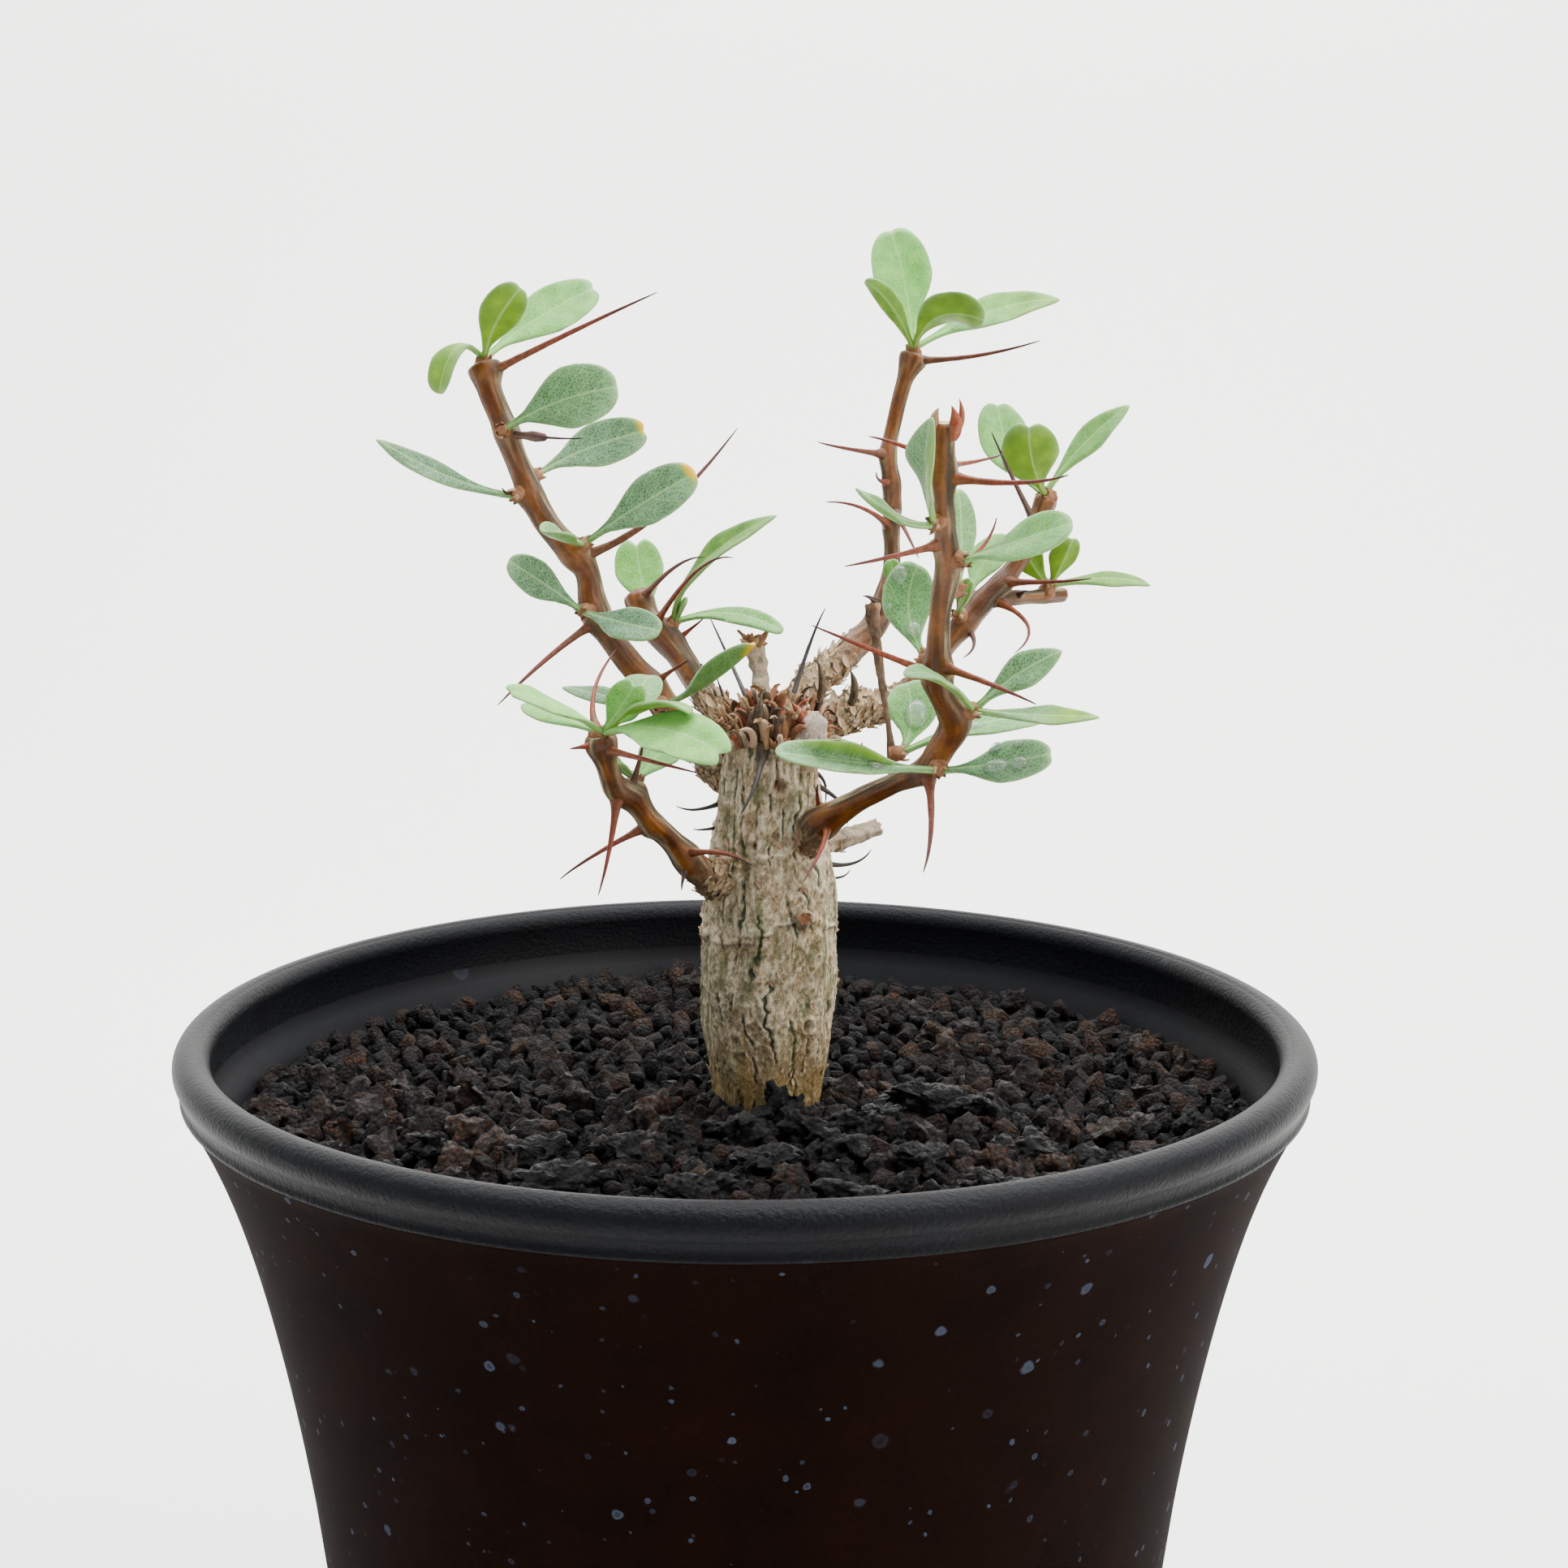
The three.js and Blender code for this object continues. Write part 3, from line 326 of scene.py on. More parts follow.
pot = {
    "height": 135.0,
    "rimDiameter": 150.0,
    "bead": 4.8,
    "beadTurns": (-48, 185, 40),  # from and to in degrees, and points
    "crease": {"turn": 112, "width": 5, "depth": 0.12},
    "wall": 2.4,
    "footDiameter": 98.0,
    "footRing": 6.0,
    "footRecess": 2.0,
    "floor": 3.0,
    "floorFillet": 3.0,
    "drainCount": 8,
    "drainDiameter": 6.0,
    "drainCircle": 56.0,
    # drop below the bead's middle, and outer radius
    "profile": [(4, 73.8), (8, 71.8), (12, 70), (18, 67.8), (25, 65.8), (35, 63.3), (45, 61.3), (60, 58.8)],
    "lowerWallBend": 0.94,
    "partingLip": 0.35,
    "segments": 256,
    # A splash layer is (cell size, share of cells with a splash, largest splash as a share of its cell).
    "finishes": [
        # the wall's brown black base and cloud: black plastic with a painted brown reflection
        {"name": "moulded polypropylene wall", "base": "#090301", "cloud": "#110502", "film": "#363d4a",
         "roughness": 0.8, "specular": 0.02, "grainSize": 0.35, "grainDepth": 0.05,
         "splashes": [(8, 0.9, 0.15), (4.6, 0.9, 0.17), (2.4, 0.8, 0.2)]},
        # the rim's blue black base and cloud: black plastic with a painted blue grey reflection
        {"name": "moulded polypropylene rim", "base": "#050609", "cloud": "#090b0f", "film": "#1d222c",
         "roughness": 0.46, "specular": 0.1, "grainSize": 0.55, "grainDepth": 0.2,
         "splashes": [(7, 0.3, 0.1)]},
        {"name": "moulded polypropylene inside", "base": "#0e0f12", "cloud": "#0b0c0f", "film": "#22262e",
         "roughness": 0.6, "specular": 0.16, "grainSize": 0.4, "grainDepth": 0.05,
         "splashes": [(11, 0.4, 0.16)]},
    ],
}
wallDrops, wallRadii = zip(*pot["profile"])
beadMiddle = pot["height"] - pot["bead"] / 2


def mouldedPlastic(finish):
    # Polypropylene moulded against a spark eroded steel mould: black, dull, with a fine even grain. The brown
    # cast in the wall's base and cloud colours and the blue cast in the rim's are painted reflections.
    # Dried splashes stand on it as thin blue grey films.
    material, tree, shader = newMaterial(finish["name"], {
        "Base Color": finish["base"], "Roughness": finish["roughness"],
        "Specular IOR Level": finish["specular"], "IOR": 1.49})
    where = inMillimetres(tree)
    cloud = addNode(tree, "ShaderNodeTexNoise", {"Scale": 0.09, "Detail": 4.0}, {"Vector": where})
    colour = addNode(tree, "ShaderNodeValToRGB", {"stops": [(0.3, finish["base"]), (0.75, finish["cloud"])]},
                     {"Fac": cloud})
    for size, share, largest in finish["splashes"]:
        # each cell of the pattern holds one splash, or none
        warp = addNode(tree, "ShaderNodeTexNoise", {"Scale": 0.8, "Detail": 2.0}, {"Vector": where})
        bent = addNode(tree, "ShaderNodeVectorMath", {"operation": "MULTIPLY_ADD", 1: (0.7, 0.7, 0.7)},
                       {0: warp.outputs["Color"], 2: where})
        cells = addNode(tree, "ShaderNodeTexVoronoi", {"Scale": 1 / size}, {"Vector": bent})
        chance = addNode(tree, "ShaderNodeSeparateColor", links={"Color": cells.outputs["Color"]})
        reach = addNode(tree, "ShaderNodeMapRange", {"From Min": 1 - share, "To Max": largest},
                        {"Value": chance.outputs["Red"]})
        inside = addNode(tree, "ShaderNodeMath", {"operation": "SUBTRACT"}, {0: reach, 1: cells})
        film = addNode(tree, "ShaderNodeMapRange", {"From Max": 0.035}, {"Value": inside})
        ring = addNode(tree, "ShaderNodeMapRange",
                       {"From Min": 0.03, "From Max": 0.12, "To Min": 1.0, "To Max": 0.45}, {"Value": inside})
        depth = addNode(tree, "ShaderNodeMath", {"operation": "MULTIPLY"}, {0: film, 1: ring})
        faint = addNode(tree, "ShaderNodeMath", {"operation": "MULTIPLY"},
                        {0: depth, 1: chance.outputs["Green"]})
        colour = addNode(tree, "ShaderNodeMix", {**overlay, 7: finish["film"]},
                         {0: faint, 6: colour}).outputs[2]
    fine = addNode(tree, "ShaderNodeTexNoise",
                   {"Scale": 1 / finish["grainSize"], "Detail": 4.0, "Roughness": 0.6}, {"Vector": where})
    joinSurface(tree, shader, colour, fine, finish["grainDepth"])
    return material


def potShell():
    wallSlot, rimSlot, insideSlot = 0, 1, 2
    foot = pot["footDiameter"] / 2
    ringInside = foot - pot["footRing"]
    recess = pot["footRecess"]
    outline = []  # (radius, height, material slot)
    outline += [(10, recess, wallSlot), (ringInside - recess, recess, wallSlot)]
    outline += [(ringInside, 0.3, wallSlot), (ringInside + 0.4, 0, wallSlot)]
    outline += [(foot - 1.1, 0, wallSlot), (foot - 0.3, 0.35, wallSlot), (foot, 1.1, wallSlot)]
    lowest = wallDrops[-1]
    for drop in np.linspace(beadMiddle - 2, lowest, 18):
        share = (beadMiddle - drop) / (beadMiddle - lowest)
        radius = foot + (wallRadii[-1] - foot) * share ** pot["lowerWallBend"]
        outline.append((radius, beadMiddle - drop, wallSlot))
    smoothWall = np.poly1d(np.polyfit(wallDrops, wallRadii, 5))
    outline += [(float(smoothWall(drop)), beadMiddle - drop, wallSlot)
                for drop in np.linspace(lowest - 2, 4.6, 34)]
    # the parting lip, then the bead with a faint crease on its inner side
    lip = float(smoothWall(3.9)) + pot["partingLip"]
    outline += [(lip, beadMiddle - 3.9, rimSlot), (lip, beadMiddle - 3.5, rimSlot)]
    outline.append((lip - pot["partingLip"] + 0.1, beadMiddle - 3.2, rimSlot))
    crease = pot["crease"]
    beadRadius = (pot["rimDiameter"] - pot["bead"]) / 2
    for turn in np.linspace(*pot["beadTurns"]):
        angle = math.radians(turn)
        sunk = crease["depth"] * math.exp(-((turn - crease["turn"]) / crease["width"]) ** 2)
        radius = pot["bead"] / 2 - sunk
        outline.append((beadRadius + math.cos(angle) * radius, beadMiddle + math.sin(angle) * radius,
                        rimSlot))
    outline += [(float(smoothWall(drop)) - pot["wall"], beadMiddle - drop, insideSlot)
                for drop in np.linspace(5, lowest - 2, 26)]
    floorTop = recess + pot["floor"]
    inside = foot - pot["wall"]
    outline.append((inside, floorTop + pot["floorFillet"], insideSlot))
    outline.append((inside - pot["floorFillet"], floorTop, insideSlot))
    count = pot["segments"]
    shape = Shape()
    for radius, height, _ in outline:
        shape.add([(radius * math.cos(t), radius * math.sin(t), height) for t in around(count)], [])
    shape.faces = gridFaces(len(outline), count, True)
    shape.slots = [slot for _, _, slot in outline[:-1] for _ in range(count)]
    closeEnds(shape, len(outline), count, (0, 0, recess), (0, 0, floorTop), (wallSlot, insideSlot))
    finishes = [mouldedPlastic(finish) for finish in pot["finishes"]]
    cutDrainHoles(shape.piece("pot_shell", finishes, "pot_plastic", ["pot"]))


def cutDrainHoles(piece):
    cutter = bmesh.new()
    for index in range(pot["drainCount"]):
        angle = index / pot["drainCount"] * fullTurn
        centre = Vector((math.cos(angle), math.sin(angle), 0)) * pot["drainCircle"] / 2 * mm
        centre.z = pot["footRecess"] * mm
        bmesh.ops.create_cone(cutter, cap_ends=True, segments=32, depth=4 * pot["floor"] * mm,
                              radius1=pot["drainDiameter"] / 2 * mm, radius2=pot["drainDiameter"] / 2 * mm,
                              matrix=Matrix.Translation(centre))
    mesh = bpy.data.meshes.new("drain cutter")
    cutter.to_mesh(mesh)
    cutter.free()
    tool = onStage(bpy.data.objects.new("drain cutter", mesh))
    cut = piece.modifiers.new("drain holes", "BOOLEAN")
    cut.operation = "DIFFERENCE"
    cut.solver = "EXACT"
    cut.object = tool
    keepEvaluated(piece)
    bpy.data.objects.remove(tool)


def keepEvaluated(piece):
    # the modifiers' result becomes the plain mesh, and the modifiers go
    bpy.context.view_layer.update()
    result = bpy.data.meshes.new_from_object(piece.evaluated_get(bpy.context.evaluated_depsgraph_get()))
    piece.modifiers.clear()
    piece.data = result


# Grit: crushed basalt lava, 3 to 6 mm

soil = {
    "level": 125.0,
    "bedLevel": 122.6,
    "bedRadius": 67.6,
    "bedSides": 160,
    "bedRings": 60,
    "wallGap": 0.5,
    "groundCells": 70,
    "waveSize": 17,
    "waveHeight": 1.1,
    # A layer of strewn stones lies at a depth below the level, from an inner radius to an inset from the edge.
    "layers": [
        {"piece": "grit_fine", "finish": "crushed lava grit", "roughness": 0.8, "pitSize": 0.5,
         "stones": "grit stone", "kinds": 12, "cuts": 1, "broken": 0.22, "spacing": 3.1, "size": 2.4375,
         "spread": 0.55, "seed": 11, "depth": 1.5, "inner": 7.6, "inset": 0.0, "everywhere": True},
        {"piece": "grit_lumps", "finish": "porous lava lumps", "roughness": 0.5, "pitSize": 0.75,
         "stones": "lava lump", "kinds": 9, "cuts": 4, "broken": 0.36, "spacing": 6.4, "size": 3.5,
         "spread": 0.45, "seed": 15, "depth": 1.2, "inner": 9.5, "inset": 1.6, "everywhere": False},
    ],
    "edgeGap": 1.365,
    "picked": {"seed": 60, "cuts": 9, "broken": 0.42},
    # [x, y, z, half sizes x, y, z, turn, tone] of stones that the eye picks out
    "stones": [
        [4.4, -12.2, 125.6, 3.6, 2.6, 4.6, 0.2, 0.0], [6.6, -13.5, 124.6, 3.4, 3, 2.6, 1.0, 0.05],
        [1.6, -13.6, 124.4, 3, 2.8, 2.2, 0.5, 0.1], [23.5, -7.5, 125.2, 6.2, 4.2, 3.2, -0.15, 0.0],
        [30.5, -9.5, 124.8, 3.6, 3, 2.6, 0.4, 0.1], [17.5, -10.5, 124.6, 3.2, 2.8, 2.2, 0.7, 0.1],
        [-60.5, -11, 124.6, 3, 2.4, 1.8, 0.1, 0.9], [-57, -17, 124.4, 3, 2.6, 1.8, 0.8, 0.75],
        [-3.4, -16.5, 124.8, 3.4, 3, 2.4, 0.3, 0.2], [-9, -21, 125, 4.2, 3.6, 2.6, -0.4, 0.05],
        [12, -26, 125, 4.4, 3.8, 2.8, 0.3, 0.1], [36, -27, 124.8, 4.6, 3.6, 2.8, 0.9, 0.3],
        [-26, -27, 125, 4.6, 3.6, 2.6, 0.2, 0.1], [-40, -24, 124.8, 3.8, 3.2, 2.4, 0.6, 0.2],
        [-1, -20.5, 125.2, 4.6, 3.8, 3, 0.8, 0.0], [7.5, -19, 125.2, 4, 3.4, 3, 0.1, 0.05],
        [14, -17, 125.2, 4.4, 3.6, 3, 0.5, 0.0], [-14, -28, 125, 5, 4, 3, 0.2, 0.05],
        [3, -31, 125, 5.2, 4, 2.8, -0.3, 0.0], [21, -31, 125, 5, 4.2, 2.8, 0.6, 0.05],
        [-22, -37, 124.8, 5, 4, 2.6, 0.1, 0.1], [-5, -41, 124.8, 5, 4.2, 2.8, 0.4, 0.0],
        [12, -43, 124.8, 5.2, 4.2, 2.6, -0.2, 0.05], [29, -41, 124.8, 4.6, 4, 2.6, 0.3, 0.1],
    ],
}


def lavaGrit(layer):
    # Crushed scoria: dull brown black rock full of gas bubbles, with wet facets that glint.
    roughness = layer["roughness"]
    material, tree, shader = newMaterial(layer["finish"], {"Roughness": roughness, "Specular IOR Level": 0.2})
    where = inMillimetres(tree)
    tone = addNode(tree, "ShaderNodeAttribute", {"attribute_name": "tone"})
    stones = addNode(tree, "ShaderNodeValToRGB", {"stops": [
        (0.0, "#040303"), (0.3, "#0a0604"), (0.62, "#160c06"), (0.86, "#26160b"), (1.0, "#452b17")]},
        {"Fac": tone.outputs["Fac"]})
    mottle = addNode(tree, "ShaderNodeTexNoise", {"Scale": 0.9, "Detail": 5.0, "Roughness": 0.65},
                     {"Vector": where})
    patches = addNode(tree, "ShaderNodeValToRGB", {"stops": [(0.3, 0.4), (0.7, 1.2)]}, {"Fac": mottle})
    colour = addNode(tree, "ShaderNodeMix", multiply, {6: stones, 7: patches}).outputs[2]
    pits = addNode(tree, "ShaderNodeTexVoronoi", {"Scale": 1 / layer["pitSize"]}, {"Vector": where})
    crumbs = addNode(tree, "ShaderNodeValToRGB", {"stops": [(0.1, 1.6), (0.6, 0.25)]}, {"Fac": pits})
    colour = addNode(tree, "ShaderNodeMix", multiply, {6: colour, 7: crumbs}).outputs[2]
    crust = addNode(tree, "ShaderNodeTexNoise", {"Scale": 2.2, "Detail": 6.0, "Roughness": 0.75},
                    {"Vector": where})
    height = addNode(tree, "ShaderNodeMath", {"operation": "SUBTRACT"}, {0: crust, 1: pits})
    glint = addNode(tree, "ShaderNodeMapRange", {
        "From Min": 0.35, "From Max": 0.65, "To Min": roughness - 0.15, "To Max": roughness + 0.15},
        {"Value": crust})
    joinSurface(tree, shader, colour, height, 0.85, roughness=glint)
    return material


def crushedStone(seed, cuts, broken):
    # the convex hull of a few random corners, its faces then broken up
    draw = random.Random(seed)
    stone = bmesh.new()
    for _ in range(13):
        corner = Vector([draw.gauss(0, 1) for _ in range(3)]).normalized()
        corner *= draw.uniform(0.8, 1.05)
        stone.verts.new((corner.x * draw.uniform(0.9, 1.2), corner.y, corner.z * 0.82))
    hull = bmesh.ops.convex_hull(stone, input=stone.verts[:])
    loose = [v for v in {*hull["geom_interior"], *hull["geom_unused"]} if isinstance(v, bmesh.types.BMVert)]
    bmesh.ops.delete(stone, geom=loose, context="VERTS")
    bmesh.ops.triangulate(stone, faces=stone.faces[:])
    bmesh.ops.subdivide_edges(stone, edges=stone.edges[:], cuts=cuts, use_grid_fill=True, smooth=0.12)
    bmesh.ops.triangulate(stone, faces=stone.faces[:])
    shift = Vector((seed * 3.1, 0, 0))
    for v in stone.verts:
        crumbs = noise.noise(v.co * 2.1 + shift) + 0.55 * noise.noise(v.co * 5 + shift)
        crumbs += 0.35 * noise.noise(v.co * 9)
        v.co += v.normal * crumbs * broken
    bmesh.ops.recalc_face_normals(stone, faces=stone.faces[:])
    return stone


def stoneKinds(layer):
    kinds = bpy.data.collections.new(layer["stones"])
    bpy.context.scene.collection.children.link(kinds)
    for index in range(layer["kinds"]):
        stone = crushedStone(index + 5 * layer["cuts"], layer["cuts"], layer["broken"])
        mesh = bpy.data.meshes.new(f"{layer['stones']} {index}")
        stone.to_mesh(mesh)
        stone.free()
        mesh.polygons.foreach_set("use_smooth", [True] * len(mesh.polygons))
        kinds.objects.link(bpy.data.objects.new(mesh.name, mesh))
    return kinds


def newTree(name, inputs):
    # a geometry nodes tree with named inputs, given as title and kind, and one output
    tree = bpy.data.node_groups.new(name, "GeometryNodeTree")
    for title, kind in inputs.items():
        tree.interface.new_socket(name=title, in_out="INPUT", socket_type=f"NodeSocket{kind}")
    tree.interface.new_socket(name="Strewn", in_out="OUTPUT", socket_type="NodeSocketGeometry")
    return tree, addNode(tree, "NodeGroupInput").outputs


def strewOn(tree, given, points, thing, rotation, size, tones):
    # instances on the points, each with its own tone, made real and given their finish
    strewn = addNode(tree, "GeometryNodeInstanceOnPoints", {"Pick Instance": "Stones" in given},
                     {"Points": points, "Instance": thing, "Rotation": rotation, "Scale": size})
    tone = addNode(tree, "FunctionNodeRandomValue", {"data_type": "FLOAT", 2: tones[0], 3: tones[1]},
                   {"Seed": given["Seed"]})
    toned = addNode(tree, "GeometryNodeStoreNamedAttribute",
                    {"data_type": "FLOAT", "domain": "INSTANCE", "Name": "tone"},
                    {"Geometry": strewn, "Value": tone.outputs[1]})
    real = addNode(tree, "GeometryNodeRealizeInstances", links={"Geometry": toned})
    finished = addNode(tree, "GeometryNodeSetMaterial", links={"Geometry": real, "Material": given["Finish"]})
    addNode(tree, "NodeGroupOutput", links={0: finished})
    return tree


def scatterTree():
    # stones of a collection strewn over a surface, each turned and sized its own way
    tree, given = newTree("strewn stones", {
        "Surface": "Geometry", "Stones": "Collection", "Spacing": "Float", "Size": "Float", "Spread": "Float",
        "Seed": "Int", "Finish": "Material"})
    spots = addNode(tree, "GeometryNodeDistributePointsOnFaces",
                    {"distribute_method": "POISSON", "Density Max": 4e6},
                    {"Mesh": given["Surface"], "Distance Min": given["Spacing"], "Seed": given["Seed"]})
    kinds = addNode(tree, "GeometryNodeCollectionInfo", {"Separate Children": True, "Reset Children": True},
                    {"Collection": given["Stones"]})
    turn = addNode(tree, "FunctionNodeRandomValue", {"data_type": "FLOAT_VECTOR", 1: (fullTurn,) * 3},
                   {"Seed": given["Seed"]})
    least = addNode(tree, "ShaderNodeMath", {"operation": "MULTIPLY"}, {0: given["Size"], 1: given["Spread"]})
    size = addNode(tree, "FunctionNodeRandomValue", {"data_type": "FLOAT"},
                   {2: least, 3: given["Size"], "Seed": given["Seed"]})
    return strewOn(tree, given, spots, kinds, turn, size.outputs[1], (0.0, 1.0))


def runNodes(name, mesh, tree, inputs):
    # a geometry nodes tree on a mesh, with its inputs by name, as a plain mesh object
    base = onStage(bpy.data.objects.new(name, mesh))
    modifier = base.modifiers.new(name, "NODES")
    modifier.node_group = tree
    for item in tree.interface.items_tree:
        if item.in_out == "INPUT" and item.name in inputs:
            modifier[item.identifier] = inputs[item.name]
    keepEvaluated(base)
    return base


def dropFaces(mesh, keep):
    # deletes the faces that keep refuses
    away = [face for face in mesh.faces if not keep(face)]
    bmesh.ops.delete(mesh, geom=away, context="FACES")


def meshOf(name, source):
    mesh = bpy.data.meshes.new(name)
    source.to_mesh(mesh)
    source.free()
    return mesh


def soilSurface(layer):
    # ground between the trunk and the pot's wall, gently uneven, mostly on the front for lumps
    outer = soil["bedRadius"] - soil["edgeGap"] - layer["inset"]
    level = soil["level"] - layer["depth"]
    surface = bmesh.new()
    bmesh.ops.create_grid(surface, x_segments=soil["groundCells"], y_segments=soil["groundCells"],
                          size=outer * mm)
    for v in surface.verts:
        wave = grain((v.co.x / mm, v.co.y / mm, 0), soil["waveSize"]) * soil["waveHeight"]
        v.co.z = (level + wave) * mm

    def keep(face):
        x, y, _ = face.calc_center_median() / mm
        if math.hypot(x, y) > outer or math.hypot(x - trunk["x"], y) < layer["inner"]:
            return False
        return layer["everywhere"] or y < 4 + 6 * grain((x, y, 9), 20) or grain((x, y, 5), 12) > 0.32

    dropFaces(surface, keep)
    return meshOf(f"{layer['piece']} ground", surface)


def soilBed(finish):
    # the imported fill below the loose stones, down to the pot's floor
    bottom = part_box("soil")[0].z / mm
    level = soil["bedLevel"]
    foot = pot["footDiameter"] / 2
    rings = [(foot - pot["wall"] - 3.6, bottom), (foot - 3, 10)]
    rings += [(radius - pot["wall"] - 0.6, beadMiddle - drop) for drop, radius in reversed(pot["profile"])
              if beadMiddle - drop < level - 1]
    outer = np.interp(beadMiddle - level, wallDrops, wallRadii) - pot["wall"] - soil["wallGap"]
    rings += [(outer, level)]
    rings += [(outer * share, level) for share in np.linspace(0.985, 0.12, soil["bedRings"])]
    count = soil["bedSides"]
    shape = Shape("tone")
    for radius, height in rings:
        for turn in around(count):
            x, y = radius * math.cos(turn), radius * math.sin(turn)
            rough = 0
            if height >= level and radius < outer:
                rough = grain((x, y, 0), soil["waveSize"]) * soil["waveHeight"]
                rough += grain((x, y, 3), 1.9) * 1.1 - 0.4
            shape.add([(x, y, height + rough)], [], tone=0.15)
    shape.faces = gridFaces(len(rings), count, True)
    shape.slots = [0] * len(shape.faces)
    closeEnds(shape, len(rings), count, (0, 0, bottom), (0, 0, level))
    shape.piece("soil_bed", [finish], "lava_grit", ["soil"])


def gritLayers():
    finishes = [lavaGrit(layer) for layer in soil["layers"]]
    soilBed(finishes[0])
    scatter = scatterTree()
    for layer, finish in zip(soil["layers"], finishes):
        kinds = stoneKinds(layer)
        strewn = runNodes(layer["piece"], soilSurface(layer), scatter, {
            "Stones": kinds, "Spacing": layer["spacing"] * mm, "Size": layer["size"] * mm,
            "Spread": layer["spread"], "Seed": layer["seed"], "Finish": finish})
        placed(strewn)
        for stone in list(kinds.objects):
            bpy.data.objects.remove(stone)
        bpy.data.collections.remove(kinds)
    picked = soil["picked"]
    shape = Shape("tone")
    for index, (x, y, z, wide, deep, tall, turn, tone) in enumerate(soil["stones"]):
        stone = crushedStone(picked["seed"] + index, picked["cuts"], picked["broken"])
        spin = Matrix.Rotation(turn, 3, "Z")
        place = Vector((x, y, z))
        points = [spin @ Vector((v.co.x * wide, v.co.y * deep, v.co.z * tall)) + place for v in stone.verts]
        shape.add(points, [[v.index for v in face.verts] for face in stone.faces], tone=tone)
        stone.free()
    shape.piece("grit_stones", [finishes[1]], "lava_grit")


# Trunk: swollen stem under flaky dead bark

trunk = {
    "x": 3.2,
    "profile": [(98, 2.2), (112, 4.8), (121, 6.7), (124, 7.0), (129, 7.8), (134, 8.7), (140, 9.1),
                (147, 8.9),
                (153, 8.5), (158, 7.8), (163, 6.9), (168, 6.4), (171, 6.2), (173.5, 5.0), (176, 2.6)],
    "ridges": [(7, 0.09, 0.22), (11, -0.153, 0.15), (3, 0.55, 0.11)],
    "fissureLines": 23,
    "columns": 290,
    "rowHeight": 0.2,
    "buried": 118,
    "stubSides": 36,
    "flakes": {"perArea": 0.3, "length": 1.15, "seed": 5},
    # [angle in degrees, height, size, depth, redness] of spine scars and dead buds
    "scars": [
        (-79, 167.3, 1.3, 0.5, 0.8), (-52, 168.6, 1.5, 0.3, 0.1), (-110, 162.4, 1.7, 0.35, 0.15),
        (-148, 157.2, 0.9, 0.3, 0.7), (-84, 160.9, 0.8, 0.25, 0.7), (-105, 159.7, 0.6, 0.2, 0.8),
        (-63, 152.5, 0.6, 0.2, 0.4), (-39, 152.6, 0.6, 0.2, 0.5), (-55, 135.5, 1.0, 0.35, 0.3),
        (-122, 133.3, 1.2, 0.15, 0.1), (-166, 154.0, 1.5, 0.4, 0.6), (-41, 161.1, 0.6, 0.3, 0.5),
        (40, 160.0, 1.4, 0.4, 0.5), (85, 150.0, 1.1, 0.3, 0.3), (120, 164.0, 1.5, 0.4, 0.4),
        (150, 142.0, 1.0, 0.25, 0.2), (20, 140.0, 0.9, 0.25, 0.3), (60, 168.0, 1.3, 0.4, 0.5),
    ],
    "nodeRings": [148.2, 159.5],
    # [points with radii, bare pale wood, redness] of broken shoots and dead knobs
    "stubs": [
        [[[8, 1, 158.3, 2.2], [12.5, 2.5, 158.6, 1.4], [18, 6, 159.6, 1.1]], 0.5, 0.35],
        [[[2, 4, 170, 2.6], [2, 7, 176, 1.7], [2, 9, 180, 1.1], [1, 11, 184.5, 1.5]], 0.35, 0.55],
        [[[7.2, -5, 150, 1.6], [7.8, -8.2, 150.2, 1.1], [8, -9.6, 150.7, 0.8]], 0.0, 0.35],
        [[[7.0, -3.0, 170.2, 2.4], [8.3, -5.0, 173.6, 2.4], [8.8, -5.2, 175.8, 1.8],
          [8.9, -5.1, 177, 0.6]], 1.3, 0.0],
        [[[1, -2.5, 170, 2.2], [-1.2, -4, 173, 1.7], [-2.4, -4.6, 174.6, 1.0]], 0.1, 0.25],
        [[[11, 5, 171, 1.8], [13.8, 3, 170.2, 1.3], [15.2, 2, 169.8, 0.8]], 0.4, 0.4],
        [[[4, -1, 172, 3], [4.6, -1.6, 175.5, 2.2], [4.8, -2, 178, 1.2]], 0.0, 0.5],
    ],
    # [root, bend, tip, radius]: old dead spines, and thinner ones round the crown
    "spines": [
        [[-1.5, -0.5, 165], [-5.8, -3, 163.8], [-9, -4, 164.4], 0.45],
        [[-1.5, -0.5, 161.3], [-5.2, -2, 160.9], [-6.8, -2.5, 161.1], 0.36],
        [[2.4, -5.4, 172.4], [1.4, -10, 168.5], [-0.5, -13, 165], 0.62],
        [[9, 1.5, 156], [14, 3, 155.2], [17, 4, 157], 0.5],
        [[1.6, 6, 174], [-1.5, 15, 180], [-5, 20, 187], 0.6],
        [[5, 3.5, 173], [8.3, 8.5, 183], [10.8, 9, 189], 0.65],
        [[7.5, 2.5, 167], [12.6, 5, 163.5], [13.8, 6, 160], 0.55],
        [[9, 2.4, 154], [12.4, 3.6, 153.2], [14.2, 4.2, 154.2], 0.32],
        [[-1, 2, 173], [-2.6, 3.4, 177], [-3.8, 4, 180.6], 0.45],
        [[7.6, 3, 168], [10.4, 5, 166.5], [10.8, 5.6, 163], 0.4],
        [[3, 1, 174.5], [5, -0.6, 177.6], [7.4, -1.6, 176.6], 0.45],
    ],
}


def trunkRadius(height):
    levels, radii = zip(*trunk["profile"])
    return float(np.interp(height, levels, radii))


def smoothTrunkRadius(height):
    return (trunkRadius(height - 1.5) + 2 * trunkRadius(height) + trunkRadius(height + 1.5)) / 4


